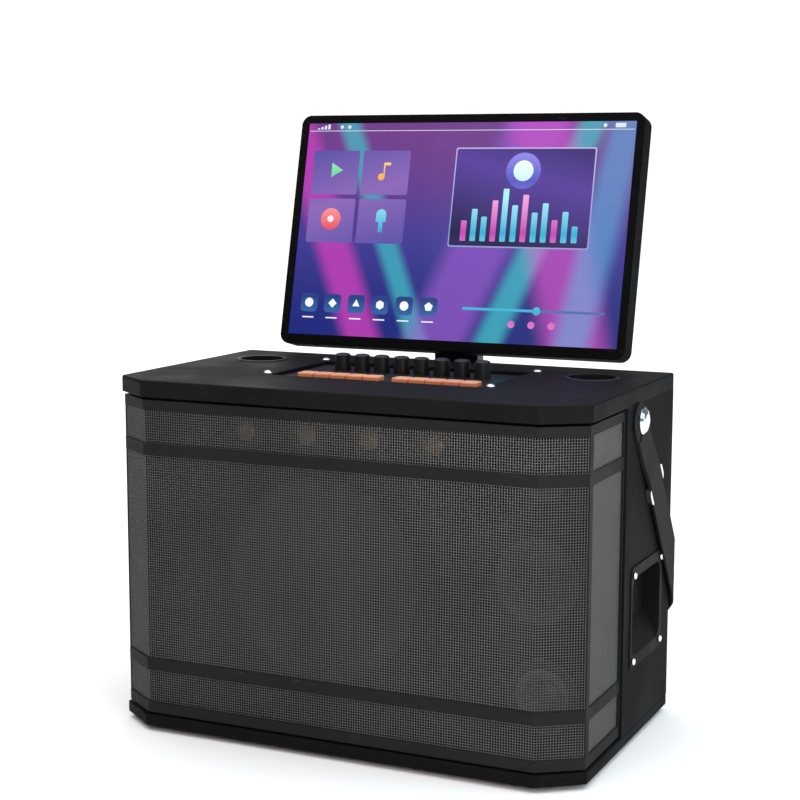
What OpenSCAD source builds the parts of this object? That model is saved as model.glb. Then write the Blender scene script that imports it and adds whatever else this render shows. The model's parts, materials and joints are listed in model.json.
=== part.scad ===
// Portable karaoke speaker cabinet with a control well, a tilting touch display,
// recessed hand grips, a webbing carry strap and nine loudspeakers behind a wrap-around grille.
// Origin on the floor under the middle of the cabinet, +X to the right, +Y to the rear, +Z up.

/* [Cabinet] */
// Width of the cabinet
body_w = 530; // [500:10:560]
// Depth of the cabinet
body_d = 307; // [300:1:320]
// Height of the cabinet without its feet
body_h = 374; // [370:1:380]
// Height of the rubber feet
foot_h = 6; // [3:1:10]
// Thickness of the top board
top_t = 17.7; // [16:0.1:20]
// Thickness of the base board
base_t = 12.3; // [12:0.1:15]
// Thickness of the side boards
side_t = 15; // [15:1:18]
// Thickness of the rear board and of the loudspeaker baffle
back_t = 12; // [10:1:15]
// Width of the front corner chamfer, seen from the front
chamfer_x = 43.2; // [40:0.1:46]
// Depth of the front corner chamfer, seen from the side
chamfer_y = 31.5; // [28:0.1:34]

/* [Grille] */
// How far the grille sits inside the edge of the boards
grille_inset = 2.5; // [2:0.1:3]
// Thickness of the grille from rail face to frame back
grille_t = 5.5; // [5:0.1:6]
// Rear end of the grille's side wing
wing_y = -12.5; // [-20:0.5:0]

/* [Controls] */
// Half width of the control well
well_x = 124; // [120:1:128]
// Front edge of the control well
well_y0 = -52; // [-54:1:-50]
// Rear edge of the control well
well_y1 = 86; // [84:1:88]
// Depth of the control well
well_h = 4.1; // [3.5:0.1:5]
// Distance between neighbouring knobs
knob_pitch = 24; // [22:0.5:25]
// Diameter of a knob
knob_d = 18; // [16:0.5:20]
// Distance between neighbouring keys of one group
key_pitch = 19.6; // [19:0.1:20]
// Distance between the middles of the two key groups
key_groups = 112.4; // [110:0.1:115]

/* [Display] */
// Width of the display housing
disp_w = 428; // [420:1:436]
// Height of the display housing
disp_h = 277; // [272:1:282]
// Thickness of the display housing
disp_t = 29; // [26:1:32]
// Backward lean of the display at rest, in degrees
disp_lean = 13.3; // [10:0.1:16]

/* [Carrying] */
// Width of the strap webbing
strap_w = 48; // [46:1:50]
// Radius of the strap's narrow folded end about its stud
strap_end_r = 18.8; // [18:0.1:20]
// Slope of the strap from the vertical, in degrees
strap_lean = 35.3; // [33:0.1:36]
// Distance from the middle of the grip to a fixing screw along the cabinet
grip_screw_y = 48.5; // [47:0.5:50]
// Distance from the middle of the grip to a fixing screw up the cabinet
grip_screw_z = 45.75; // [44:0.25:47]

/* [Hidden] */
$fn = 64;
eps = 0.01;
half_w = body_w / 2;
half_d = body_d / 2;
chamfer_run = norm([chamfer_x, chamfer_y]);
KNOBS = 8;
KEYS = 10;

// Heights inside the cabinet, from the underside of the base board
top_under = body_h - top_t;
rear_face = half_d;
rear_inner = half_d - back_t;
side_inner = half_w - side_t;
wing_inner = half_w - grille_inset - grille_t;
baffle_y0 = -half_d + 37.5;
baffle_y1 = baffle_y0 + back_t;

// Feet and battens
foot_r = 16;
foot_x = half_w - 60;
FOOT_Y = [-half_d + 58.5, half_d - 35.5];
batten_w = 15;
cleat_end = 60;

// Grille: four rails between a lower and an upper shadow gap
grille_z0 = base_t + 2.2;
grille_z1 = top_under - 3;
RAILS = [[grille_z0, grille_z0 + 11.7], [grille_z0 + 46.8, grille_z0 + 59.5],
         [grille_z1 - 58.9, grille_z1 - 46], [grille_z1 - 10.3, grille_z1]];
trim_t = 1.8;
mesh_t = 0.8;
post_w = 4;
corner_post_w = 8.5;
corner_y = -half_d + chamfer_y + 1.3;
peg_d = 8;
peg_x = 150;
peg_reach = 7;
PEG_Z = [grille_z0 + 5.9, grille_z1 - 5.2];
mesh_bar = 3;
mesh_across = 12;
mesh_up = [1, 6, 1];

// Control well
plate_t = 2;
lip_x = well_x + 12;
lip_y0 = well_y0 - 7;
lip_y1 = well_y1 + 15;
plate_gap = 1;
plate_z1 = body_h - well_h;
plate_z0 = plate_z1 - plate_t;
pot_h = 10;
pot_w = 16;
pot_d = 18;
board_t = 1.6;
board_z1 = plate_z0 - pot_h;
board_gap = 2;
standoff_r = 3;
standoff_in = 6;
knob_y = well_y1 - 40.2;
knob_top = body_h + 15.3;
knob_taper = 0.6;
knob_gap = 0.3;
dome_h = 2.6;
bush_r = 4.5;
spindle_r = 3;
spindle_fit = 0.05;
key_w = key_pitch - 1;
key_d = 19.5;
key_y = well_y0 + 36.7;
key_fit = 0.2;
key_travel = 1.2;
key_edge = 0.8;
key_round = 3.2;
key_z0 = plate_z0 - 2;
stem_h = 2.5;
stem_r = 2;
switch_w = 6;
screw_x = well_x + 5.4;
screw_r = 2;
screw_head_r = 5;
screw_dome = 3;
screw_under = 5;
SCREW_Y = [well_y0 + 7.6, well_y1 + 7.5];

// Microphone wells
mic_x = half_w - 65;
mic_y = half_d - 84.9;
mic_rim_r = 30;
mic_rim_h = 1.4;
mic_out_r = 27;
mic_in_r = 25;
mic_depth = 62;
mic_floor = 2;

// Display, in its own frame: x right, y to the rear, z up the screen, from the middle of the front face
disp_gap = 12.2;
disp_y = half_d - 18.4 + disp_h / 2 * sin(disp_lean);
disp_z = body_h + disp_gap + disp_h / 2 * cos(disp_lean);
active_w = disp_w - 19.8;
active_h = disp_h - 21.8;
active_up = 1.3;
glass_back = 1.2;
panel_margin = 3;
panel_t = 8;
bezel_t = 3.2;
shell_wall = 3;
shell_rim = 4;
shell_step = 3;
disp_round = 12;
disp_board_w = 160;
disp_board_h = 100;
disp_board_y = 18;
pin_back = disp_t + 12;
pin_down = -disp_h / 2 + 23.5;
pin_r = 4;
barrel_r = 9;
barrel_x = 22.6;
hinge_plate_x = 40;
hinge_plate_t = 3;
arm_t = 4;
fork_x = barrel_x + 0.4;
neck_low = body_h - 74;
neck_high = body_h - 4;
neck_foot_t = 3;
pin_y = disp_y + pin_back * cos(disp_lean) + pin_down * sin(disp_lean);
pin_z = disp_z + pin_down * cos(disp_lean) - pin_back * sin(disp_lean);

// Strap and its studs
stud_y = wing_y + 35.5;
stud_z = body_h - 35;
stud_r = 14;
stud_shaft_r = 4;
stud_base_t = 3.4;
stud_dome_t = 4.4;
strap_t = 2.6;
strap_x0 = half_w + 3;
strap_near_x0 = half_w + 0.3;
strap_rise0 = 38;
strap_rise1 = 78;
strap_back_y = rear_face + 1.5;
strap_low_z = 48;
strap_reach = 330;
strap_shift = strap_w / 2 - strap_end_r;
widen_start = 106;
widen_end = 126;
adjust_r = 92;
adjust_reach = strap_end_r + 5;
adjust_rim = 4.4;
adjust_half = 11;
adjust_round = 7;
adjust_x = half_w + 0.8;
adjust_t = 2;

// Hand grips
grip_y = half_d - 89.5;
grip_z = 132.4;
grip_w = 2 * grip_screw_y + 15;
grip_h = 2 * grip_screw_z + 16.5;
pocket_y = grip_y - 2;
pocket_z = grip_z + 0.6;
pocket_w = 100;
pocket_h = 84;
pocket_d = 18;
pocket_round = 14;
ramp_h = 28;
pocket_wall = 2;
pocket_fit = 0.2;
flange_t = 1.5;
flange_round = 8;
grip_screw_r = 1.8;
grip_head_r = 3.6;
grip_head_t = 1;
wood_bite = 12;
screw_fit = 0.03;

// Loudspeakers: middle x, middle z, ring radius, hole radius, basket depth, magnet radius, magnet
// thickness, ring thickness, cone depth and cap radius
woofer_r = 0.286 * body_h;
WOOFER = [-27, 0.46 * body_h, woofer_r, woofer_r - 14.2, 62, 55, 24, 4, 42, 26];
MID = [side_inner - 42, 0.524 * body_h, 43, 35.8, 26, 22, 14, 2.5, 18, 12];
LOW = [side_inner - 34.5, base_t + 68.2, 37.5, 30.8, 24, 20, 12, 2.5, 16, 12];
SMALL = [side_inner - 36, grille_z1 - 53.8, 23, 17.8];
tweeter_pitch = 71;
TWEETER_X = [for (i = [0:3]) -114.7 + i * tweeter_pitch];
tweeter_z = grille_z1 - 30.3;
tweeter_r = 20;
tweeter_hole_r = 14.8;
ring_t_small = 2.5;
hole_fit = 0.2;
basket_wall = 3;
cone_t = 1.5;
cone_gap = 0.1;
dome_lift = 3;

// Rear connections
rear_plate_w = 200;
rear_plate_h = 90;
rear_plate_t = 1.5;
rear_plate_z = body_h - 139;
rear_overlap = 10;
JACK_X = [-70, -40, -10];
jack_r = 3.25;
jack_out_r = 6;
jack_deep = 18;
jack_nose = 2.5;
inlet_x = 62;
inlet_w = 26;
inlet_h = 18;
inlet_wall = 3;
inlet_deep = 18;
switch_x = 24;
switch_slot_w = 14;
switch_slot_h = 22;
rocker_w = 13;
rocker_h = 19;
rocker_out = 4;
rocker_in = 6;
rocker_back = 2;
rocker_swing = 8;
rocker_pin_r = 1.5;
housing_wall = 2.5;
housing_deep = 12;

// Amplifier and battery on the base board
amp_w = 170;
amp_d = 100;
amp_x = -60;
amp_y = 30;
amp_lift = 10;
sink_w = 130;
sink_d = 18;
sink_h = 38;
coil_w = 40;
coil_h = 28;
battery_w = 120;
battery_d = 90;
battery_h = 66;
battery_x = -half_w + 60;
battery_y = 20;

// Lifts the cabinet's own heights onto the feet
module lift() {
  translate([0, 0, foot_h]) children();
}

// Box between two corners
module box(x0, x1, y0, y1, z0, z1) {
  translate([x0, y0, z0]) cube([x1 - x0, y1 - y0, z1 - z0]);
}

// Cylinder along Y from y0 to y1
module bar_y(x, z, r, y0, y1, r2 = -1) {
  translate([x, y0, z]) rotate([-90, 0, 0]) cylinder(h = y1 - y0, r1 = r, r2 = r2 < 0 ? r : r2);
}

// Cylinder along X from x0 to x1
module bar_x(y, z, r, x0, x1) {
  translate([x0, y, z]) rotate([0, 90, 0]) cylinder(h = x1 - x0, r = r);
}

// Rounded rectangle made of plain circles and boxes
module round_rect(w, h, r) {
  union() {
    square([w - 2 * r, h], center = true);
    square([w, h - 2 * r], center = true);
    for (sx = [-1, 1])
      for (sy = [-1, 1])
        translate([sx * (w / 2 - r), sy * (h / 2 - r)]) circle(r = r);
  }
}

// Outline of the grip recess, grown by k
module pocket_outline(k = 0) {
  round_rect(pocket_w + 2 * k, pocket_h + 2 * k, pocket_round + k);
}

// Plan outline of the cabinet, moved inwards by k
module plan(k = 0) {
  kx = k * (chamfer_run - chamfer_y) / chamfer_x;
  ky = k * (chamfer_run - chamfer_x) / chamfer_y;
  cx = half_w - chamfer_x - kx;
  cy = -half_d + chamfer_y + ky;
  polygon([[-half_w + k, half_d], [-half_w + k, cy], [-cx, -half_d + k],
           [cx, -half_d + k], [half_w - k, cy], [half_w - k, half_d]]);
}

// Board with the cabinet's plan and a bevelled upper edge
module base_board() {
  color([0.09, 0.09, 0.1]) lift() linear_extrude(base_t) plan();
}

module top_board() {
  edge = 1.5;
  color([0.22, 0.22, 0.23]) lift() difference() {
    union() {
      translate([0, 0, top_under]) linear_extrude(top_t - edge) plan();
      translate([0, 0, body_h - edge - eps]) linear_extrude(edge + eps) plan(edge / 2);
    }
    box(-well_x, well_x, well_y0, well_y1, top_under - 1, body_h + 1);
    box(-lip_x, lip_x, lip_y0, lip_y1, top_under - 1, plate_z1);
    for (s = [-1, 1])
      translate([s * mic_x, mic_y, top_under - 1]) cylinder(h = top_t + 2, r = mic_out_r + 0.1);
    for (s = [-1, 1])
      for (y = SCREW_Y)
        translate([s * screw_x, y, plate_z0]) cylinder(h = top_t, r = screw_r + 0.05);
  }
}

// Side board with its rebate for the grille, the grip pocket and the stud bore
module side_board() {
  difference() {
    union() {
      box(side_inner, half_w, wing_y, rear_face, base_t, top_under);
      box(side_inner, wing_inner, baffle_y1, wing_y + eps, base_t, top_under);
    }
    translate([side_inner - 1, pocket_y, pocket_z]) rotate([90, 0, 90])
      linear_extrude(side_t + 2) pocket_outline(pocket_wall + pocket_fit);
    for (y = [-1, 1])
      for (z = [-1, 1])
        bar_x(grip_y + y * grip_screw_y, grip_z + z * grip_screw_z, grip_screw_r + screw_fit,
              half_w - wood_bite, half_w + 1);
    bar_x(stud_y, stud_z, stud_shaft_r + screw_fit, side_inner - 1, half_w + 1);
  }
}

module left_side() {
  color([0.16, 0.16, 0.17]) lift() mirror([1, 0, 0]) side_board();
}

module right_side() {
  color([0.16, 0.16, 0.17]) lift() side_board();
}

module back_panel() {
  color([0.16, 0.16, 0.17]) lift() difference() {
    box(-side_inner, side_inner, rear_inner, rear_face, base_t, top_under);
    w = rear_plate_w / 2 - rear_overlap;
    h = rear_plate_h / 2 - rear_overlap;
    box(-w, w, rear_inner - 1, rear_face + 1, rear_plate_z - h, rear_plate_z + h);
  }
}

// Cut-outs that the loudspeakers pass through
module driver_hole(d, r) {
  bar_y(d[0], d[1], r, baffle_y0 - 1, baffle_y1 + 1);
}

module front_baffle() {
  color([0.12, 0.12, 0.12]) lift() difference() {
    box(-wing_inner, wing_inner, baffle_y0, baffle_y1, base_t, top_under);
    for (d = [WOOFER, MID, LOW, SMALL])
      driver_hole(d, d[3] + hole_fit);
    for (x = TWEETER_X)
      driver_hole([x, tweeter_z], tweeter_hole_r + hole_fit);
    for (s = [-1, 1])
      for (z = PEG_Z)
        bar_y(s * peg_x, z, peg_d / 2 + 0.05, baffle_y0 - 1, baffle_y0 + peg_reach + 1);
  }
}

// Two upright battens in the rear corners and two cleats behind the baffle
module cabinet_battens() {
  b = batten_w;
  cleat = side_inner - cleat_end;
  color([0.7, 0.55, 0.36]) lift() {
    for (s = [0, 1])
      mirror([s, 0, 0]) box(side_inner - b, side_inner, rear_inner - b, rear_inner, base_t, top_under);
    box(-cleat, cleat, baffle_y1, baffle_y1 + b, base_t, base_t + b);
    box(-cleat, cleat, baffle_y1, baffle_y1 + b, top_under - b * 0.8, top_under);
  }
}

module rubber_feet() {
  color([0.1, 0.1, 0.1])
    for (sx = [-1, 1])
      for (y = FOOT_Y)
        translate([sx * foot_x, y, 0]) cylinder(h = foot_h, r = foot_r);
}

// Wrapped strip between two distances from the grille's outer face
module wrap(k0, k1, z0, z1) {
  translate([0, 0, z0]) linear_extrude(z1 - z0) difference() {
    intersection() {
      plan(grille_inset + k0);
      translate([-body_w, -body_d]) square([2 * body_w, body_d + wing_y]);
    }
    intersection() {
      plan(grille_inset + k1);
      translate([-body_w, -body_d]) square([2 * body_w, body_d + wing_y + 1]);
    }
  }
}

// Four rails with a post at each front corner and at each wing end
module grille_trim() {
  color([0.17, 0.17, 0.17]) lift() {
    for (r = RAILS)
      wrap(0, trim_t, r[0], r[1]);
    for (s = [0, 1])
      mirror([s, 0, 0]) {
        box(half_w - grille_inset - trim_t, half_w - grille_inset, wing_y - post_w, wing_y,
            grille_z0, grille_z1);
        box(half_w - grille_inset - trim_t, half_w - grille_inset, corner_y, corner_y + corner_post_w,
            grille_z0, grille_z1);
      }
  }
}
// Upright slots of the mesh between two heights, over a run of the given length along X
module mesh_slots(run, across, z0, z1, up) {
  w = run / across;
  h = (z1 - z0) / up;
  for (i = [0:across - 1])
    for (j = [0:up - 1])
      translate([i * w + mesh_bar / 2, -grille_t, z0 + j * h + mesh_bar / 2])
        cube([w - mesh_bar, 2 * grille_t, h - mesh_bar]);
}

// Wrapped sheet, opened by a plain grid on the front, the chamfers and the wings
module grille_mesh() {
  k = grille_inset + trim_t + mesh_t / 2;
  kx = k * (chamfer_run - chamfer_y) / chamfer_x;
  ky = k * (chamfer_run - chamfer_x) / chamfer_y;
  near = [half_w - chamfer_x - kx, -half_d + k];
  far = [half_w - k, -half_d + chamfer_y + ky];
  turn = atan2(far[1] - near[1], far[0] - near[0]);
  slope = norm(far - near);
  wing = wing_y - post_w - far[1] - corner_post_w;
  color([0.25, 0.26, 0.27]) lift() difference() {
    wrap(trim_t, trim_t + mesh_t, grille_z0, grille_z1);
    for (b = [0:2]) {
      z0 = RAILS[b][1] - mesh_bar / 2;
      z1 = RAILS[b + 1][0] + mesh_bar / 2;
      translate([-near[0] + mesh_bar, near[1], 0])
        mesh_slots(2 * (near[0] - mesh_bar), mesh_across, z0, z1, mesh_up[b]);
      for (s = [0, 1])
        mirror([s, 0, 0]) {
          translate([near[0], near[1], 0]) rotate(turn) translate([mesh_bar, 0, 0])
            mesh_slots(slope - 2 * mesh_bar, 1, z0, z1, mesh_up[b]);
          translate([far[0], far[1] + corner_post_w, 0]) rotate(90)
            mesh_slots(wing, 3, z0, z1, mesh_up[b]);
        }
    }
  }
}

// Frame behind the mesh: four rails, posts at the wing ends and pegs into the baffle
module grille_frame() {
  color([0.06, 0.06, 0.06]) lift() {
    for (r = RAILS)
      wrap(trim_t + mesh_t, grille_t, r[0], r[1]);
    for (s = [0, 1])
      mirror([s, 0, 0]) {
        box(wing_inner, half_w - grille_inset - trim_t - mesh_t, wing_y - post_w, wing_y,
            grille_z0, grille_z1);
        for (z = PEG_Z)
          bar_y(peg_x, z, peg_d / 2, -half_d + grille_inset + grille_t - 1, baffle_y0 + peg_reach);
      }
  }
}

// Steel plate under the lip of the top board
module control_panel() {
  color([0.22, 0.22, 0.23]) lift() difference() {
    box(-lip_x + plate_gap, lip_x - plate_gap, lip_y0 + plate_gap, lip_y1 - plate_gap, plate_z0, plate_z1);
    for (i = [1:KNOBS])
      translate([knob_x(i), knob_y, plate_z0 - 1]) cylinder(h = plate_t + 2, r = bush_r + 0.05);
    for (s = [-1, 1])
      translate([s * key_groups / 2, key_y, plate_z0]) linear_extrude(3 * plate_t, center = true)
        square([4 * key_pitch + key_w + 2 * key_fit, key_d + 2 * key_fit], center = true);
    for (s = [-1, 1])
      for (y = SCREW_Y)
        translate([s * screw_x, y, plate_z0 - 1]) cylinder(h = plate_t + 2, r = screw_r + 0.05);
  }
}

// Four domed screws with their nuts under the plate
module control_screws() {
  color([0.8, 0.8, 0.8]) lift()
    for (s = [-1, 1])
      for (y = SCREW_Y)
        translate([s * screw_x, y, 0]) {
          translate([0, 0, plate_z0 - screw_under])
            cylinder(h = body_h - plate_z0 + screw_under + eps, r = screw_r);
          translate([0, 0, body_h]) cylinder(h = screw_dome * 0.3, r = screw_head_r);
          translate([0, 0, body_h + screw_dome * 0.3 - eps])
            cylinder(h = screw_dome * 0.4, r1 = screw_head_r, r2 = screw_head_r * 0.82);
          translate([0, 0, body_h + screw_dome * 0.7 - 2 * eps])
            cylinder(h = screw_dome * 0.3, r1 = screw_head_r * 0.82, r2 = screw_head_r * 0.45);
          translate([0, 0, plate_z0 - screw_r * 1.5]) cylinder(h = screw_r * 1.5, r = screw_head_r, $fn = 6);
        }
}

function knob_x(i) = (i - (KNOBS + 1) / 2) * knob_pitch;
function key_x(i) =
  (i > KEYS / 2 ? 1 : -1) * key_groups / 2 + ((i - 1) % (KEYS / 2) - 2) * key_pitch;

// Circuit board on standoffs, with one push switch under each key
module mixer_board() {
  switch_top = key_z0 - stem_h - key_travel - 0.1;
  color([0.1, 0.35, 0.2]) lift() {
    x1 = well_x - board_gap;
    y0 = well_y0 + 2 * board_gap;
    y1 = well_y1 - 7 * board_gap;
    box(-x1, x1, y0, y1, board_z1 - board_t, board_z1);
    for (x = [-x1 + standoff_in, x1 - standoff_in])
      for (y = [y0 + standoff_in, y1 - standoff_in])
        translate([x, y, board_z1 - eps]) cylinder(h = pot_h + eps, r = standoff_r);
    for (i = [1:KEYS])
      translate([key_x(i), key_y, board_z1 - eps])
        linear_extrude(switch_top - board_z1) square(switch_w, center = true);
  }
}

module potentiometers() {
  color([0.6, 0.6, 0.62]) lift()
    for (i = [1:KNOBS])
      translate([knob_x(i), knob_y, 0]) difference() {
        union() {
          translate([0, 0, board_z1]) linear_extrude(pot_h) square([pot_w, pot_d], center = true);
          translate([0, 0, plate_z0 - eps]) cylinder(h = plate_t + eps, r = bush_r);
        }
        translate([0, 0, board_z1 + 2]) cylinder(h = pot_h + plate_t, r = spindle_r + spindle_fit);
      }
}

// Domed knob with its spindle
module knob(i) {
  dome = dome_h;
  top_d = knob_d - knob_taper;
  z0 = plate_z1 + knob_gap;
  color([0.13, 0.13, 0.14]) lift() translate([knob_x(i), knob_y, 0]) {
    translate([0, 0, z0]) cylinder(h = knob_top - dome - z0, d1 = knob_d, d2 = top_d);
    translate([0, 0, knob_top - dome - eps]) cylinder(h = dome * 0.6, d1 = top_d, d2 = top_d - 2);
    translate([0, 0, knob_top - dome * 0.4 - 2 * eps])
      cylinder(h = dome * 0.4, d1 = top_d - 2, d2 = top_d - 7);
    translate([0, 0, board_z1 + 2.4]) cylinder(h = z0 - board_z1 - 2.4 + 1, r = spindle_r);
  }
}

// Square key cap with round corners and a stem towards its switch
module key(i) {
  color([0.93, 0.55, 0.38]) lift() translate([key_x(i), key_y, 0]) {
    translate([0, 0, key_z0]) linear_extrude(body_h - key_z0 - key_edge)
      round_rect(key_w, key_d, key_round);
    translate([0, 0, body_h - key_edge - eps]) linear_extrude(key_edge + eps)
      round_rect(key_w - key_edge, key_d - key_edge, key_round - key_edge / 2);
    translate([0, 0, key_z0 - stem_h]) cylinder(h = stem_h + 1, r = stem_r);
  }
}

// Cup sunk through the top board, with a bevelled rim
module mic_well(side) {
  rim = mic_rim_h;
  color([0.1, 0.1, 0.1]) lift() translate([side * mic_x, mic_y, body_h]) difference() {
    union() {
      cylinder(h = rim, r1 = mic_rim_r, r2 = mic_rim_r - rim);
      translate([0, 0, -mic_depth]) cylinder(h = mic_depth + eps, r = mic_out_r);
    }
    translate([0, 0, -mic_depth + mic_floor]) cylinder(h = mic_depth + rim, r = mic_in_r);
  }
}

module mic_well_left() { mic_well(-1); }
module mic_well_right() { mic_well(1); }

// Places the display's own frame in the cabinet
module on_display() {
  lift() translate([0, disp_y, disp_z]) rotate([-disp_lean, 0, 0]) children();
}

// Slab of the display outline between two depths
module disp_slab(y0, y1, grow = 0) {
  translate([0, y1, 0]) rotate([90, 0, 0]) linear_extrude(y1 - y0)
    round_rect(disp_w + 2 * grow, disp_h + 2 * grow, disp_round + grow);
}

module display_shell() {
  step = shell_step;
  color([0.12, 0.12, 0.13]) on_display() difference() {
    union() {
      disp_slab(bezel_t, disp_t - step);
      disp_slab(disp_t - step - eps, disp_t - step / 3, -step / 3);
      disp_slab(disp_t - step / 3 - eps, disp_t, -step);
    }
    disp_slab(bezel_t - 1, disp_t - shell_wall, -shell_rim);
  }
}

module display_bezel() {
  color([0.05, 0.05, 0.06]) on_display() difference() {
    disp_slab(0, bezel_t);
    translate([-active_w / 2, -1, active_up - active_h / 2]) cube([active_w, bezel_t + 2, active_h]);
  }
}

// Screen module with its touch glass, held between bezel and shell
module display_panel() {
  margin = panel_margin;
  fit = 0.1;
  color([0.3, 0.15, 0.6]) on_display() {
    translate([-active_w / 2 + fit, glass_back, active_up - active_h / 2 + fit])
      cube([active_w - 2 * fit, bezel_t, active_h - 2 * fit]);
    translate([-active_w / 2 - margin, bezel_t, active_up - active_h / 2 - margin])
      cube([active_w + 2 * margin, panel_t, active_h + 2 * margin]);
  }
}

module display_board() {
  inner = disp_t - shell_wall;
  back = disp_board_y + board_t;
  chip = disp_board_w / 4;
  color([0.1, 0.35, 0.2]) on_display() {
    translate([-disp_board_w / 2, disp_board_y, -disp_board_h * 0.6])
      cube([disp_board_w, board_t, disp_board_h]);
    for (x = [-1, 1])
      for (z = [-0.52, 0.32])
        translate([x * disp_board_w * 0.45, back - eps, z * disp_board_h]) rotate([-90, 0, 0])
          cylinder(h = inner - back + eps, r = standoff_r);
    translate([-chip / 2, disp_board_y - 3, -chip / 2]) cube([chip, 3 + eps, chip]);
  }
}

// Plate and hinge barrel on the rear of the display
module display_bracket() {
  color([0.1, 0.1, 0.1]) on_display() difference() {
    union() {
      translate([-hinge_plate_x, disp_t, pin_down - 19])
        cube([2 * hinge_plate_x, hinge_plate_t, 74]);
      translate([-barrel_x, disp_t + 1, pin_down - barrel_r + 1])
        cube([2 * barrel_x, pin_back - disp_t - 1, 2 * barrel_r - 2]);
      bar_x(pin_back, pin_down, barrel_r, -barrel_x, barrel_x);
    }
    bar_x(pin_back, pin_down, pin_r + 0.05, -barrel_x - 1, barrel_x + 1);
  }
}

// Fork on the rear board that carries the hinge pin
module neck_bracket() {
  web_y = pin_y - arm_t;
  shelf_z = body_h - 22;
  color([0.08, 0.08, 0.09]) lift() difference() {
    union() {
      box(-fork_x - arm_t, fork_x + arm_t, rear_face, rear_face + neck_foot_t, neck_low, neck_high);
      for (s = [0, 1])
        mirror([s, 0, 0]) {
          translate([fork_x, 0, 0]) rotate([90, 0, 90]) linear_extrude(arm_t)
            polygon([[rear_face, neck_low + 2], [rear_face, neck_high], [pin_y - barrel_r, neck_high + 1],
                     [pin_y - barrel_r, pin_z], [pin_y + barrel_r, pin_z],
                     [pin_y + barrel_r, neck_high - 25]]);
          bar_x(pin_y, pin_z, barrel_r, fork_x, fork_x + arm_t);
        }
      box(-fork_x - eps, fork_x + eps, web_y, web_y + neck_foot_t, shelf_z, pin_z - barrel_r - 4.5);
      box(-fork_x - eps, fork_x + eps, rear_face + 2, web_y + 1, shelf_z, shelf_z + arm_t);
    }
    bar_x(pin_y, pin_z, pin_r + 0.02, -fork_x - arm_t - 1, fork_x + arm_t + 1);
  }
}

module hinge_pin() {
  reach = fork_x + arm_t;
  color([0.7, 0.7, 0.7]) lift() {
    bar_x(pin_y, pin_z, pin_r, -reach - 1, reach + 1);
    for (s = [0, 1])
      mirror([s, 0, 0]) bar_x(pin_y, pin_z, pin_r + 2, reach + 0.2, reach + 2);
  }
}

// Side view of one strap arm: a folded end about the stud that widens into the full band
module arm_outline() {
  r = strap_end_r;
  reach = strap_reach - 10;
  translate([stud_y, stud_z]) rotate(strap_lean - 90)
    polygon(concat([for (a = [90:10:270]) r * [cos(a), sin(a)]],
                   [[reach, -r], [reach, strap_w - r], [widen_end, strap_w - r], [widen_start, r]]));
}

// Arm: a folded strip that stands off to clear the grip, cut to the side view
module strap_arm() {
  x0 = strap_near_x0;
  x1 = strap_x0;
  reach = strap_reach;
  intersection() {
    translate([0, stud_y, stud_z]) rotate([strap_lean, 0, 0]) rotate([0, 90, 0]) rotate([90, 0, 0])
      linear_extrude(200, center = true)
        polygon([[-strap_w, x0], [strap_rise0, x0], [strap_rise1, x1], [reach, x1], [reach, x1 + strap_t],
                 [strap_rise1, x1 + strap_t], [strap_rise0, x0 + strap_t], [-strap_w, x0 + strap_t]]);
    rotate([90, 0, 90]) linear_extrude(half_w + 60) difference() {
      arm_outline();
      translate([strap_back_y + eps, 0]) square([400, 900]);
      translate([stud_y, stud_z]) circle(r = stud_shaft_r + 0.05);
    }
  }
}

module carry_strap() {
  color([0.1, 0.1, 0.11]) lift() {
    for (s = [0, 1])
      mirror([s, 0, 0]) strap_arm();
    loop_band();
  }
}

// Loop behind the cabinet: two slopes joined by a level run, with round bends
loop_turn_r = 60;
loop_phi = 90 - strap_lean;
loop_x = strap_x0 + strap_t;
loop_z = stud_z - (strap_back_y - stud_y) / tan(strap_lean) + strap_shift / sin(strap_lean);
loop_drop = (loop_z - strap_low_z - loop_turn_r * (1 - cos(loop_phi))) / cos(strap_lean);
loop_bend_x = loop_x - loop_drop * sin(strap_lean) - loop_turn_r * sin(loop_phi);

// Right half of one edge of the loop, at a distance from its centre line
function loop_edge(o) = concat(
  [[loop_x, loop_z + o / sin(strap_lean)]],
  [for (i = [0:8])
    let (a = loop_phi * (1 - i / 8), r = loop_turn_r - o)
    [loop_bend_x + r * sin(a), strap_low_z + loop_turn_r - r * cos(a)]]);
function flip(points) = [for (i = [len(points) - 1:-1:0]) [-points[i][0], points[i][1]]];
function back_to_front(points) = [for (i = [len(points) - 1:-1:0]) points[i]];

module loop_band() {
  low = loop_edge(-strap_w / 2);
  high = loop_edge(strap_w / 2);
  translate([0, strap_back_y + strap_t, 0]) rotate([90, 0, 0]) linear_extrude(strap_t)
    polygon(concat(low, flip(low), back_to_front(flip(high)), back_to_front(high)));
}

// Shaft through strap and side board under a domed head
module strap_studs() {
  color([0.85, 0.85, 0.87]) lift()
    for (s = [0, 1])
      mirror([s, 0, 0]) {
        head_x = strap_near_x0 + strap_t + 0.2;
        bar_x(stud_y, stud_z, stud_shaft_r, side_inner, head_x + 1);
        bar_x(stud_y, stud_z, stud_r, head_x, head_x + stud_base_t);
        translate([head_x + stud_base_t - eps, stud_y, stud_z]) rotate([0, 90, 0]) {
          cylinder(h = stud_dome_t * 0.6, r1 = stud_r, r2 = stud_r * 0.8);
          translate([0, 0, stud_dome_t * 0.6 - eps])
            cylinder(h = stud_dome_t * 0.4, r1 = stud_r * 0.8, r2 = stud_r * 0.45);
        }
      }
}

// Side view of a buckle: a round-cornered ring with a middle bar
module buckle_outline() {
  difference() {
    round_rect(2 * adjust_reach, 2 * adjust_half, adjust_round);
    round_rect(2 * (adjust_reach - adjust_rim), 2 * (adjust_half - adjust_rim), adjust_round - adjust_rim);
  }
  square([2 * adjust_reach - adjust_rim, adjust_rim], center = true);
}

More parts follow.
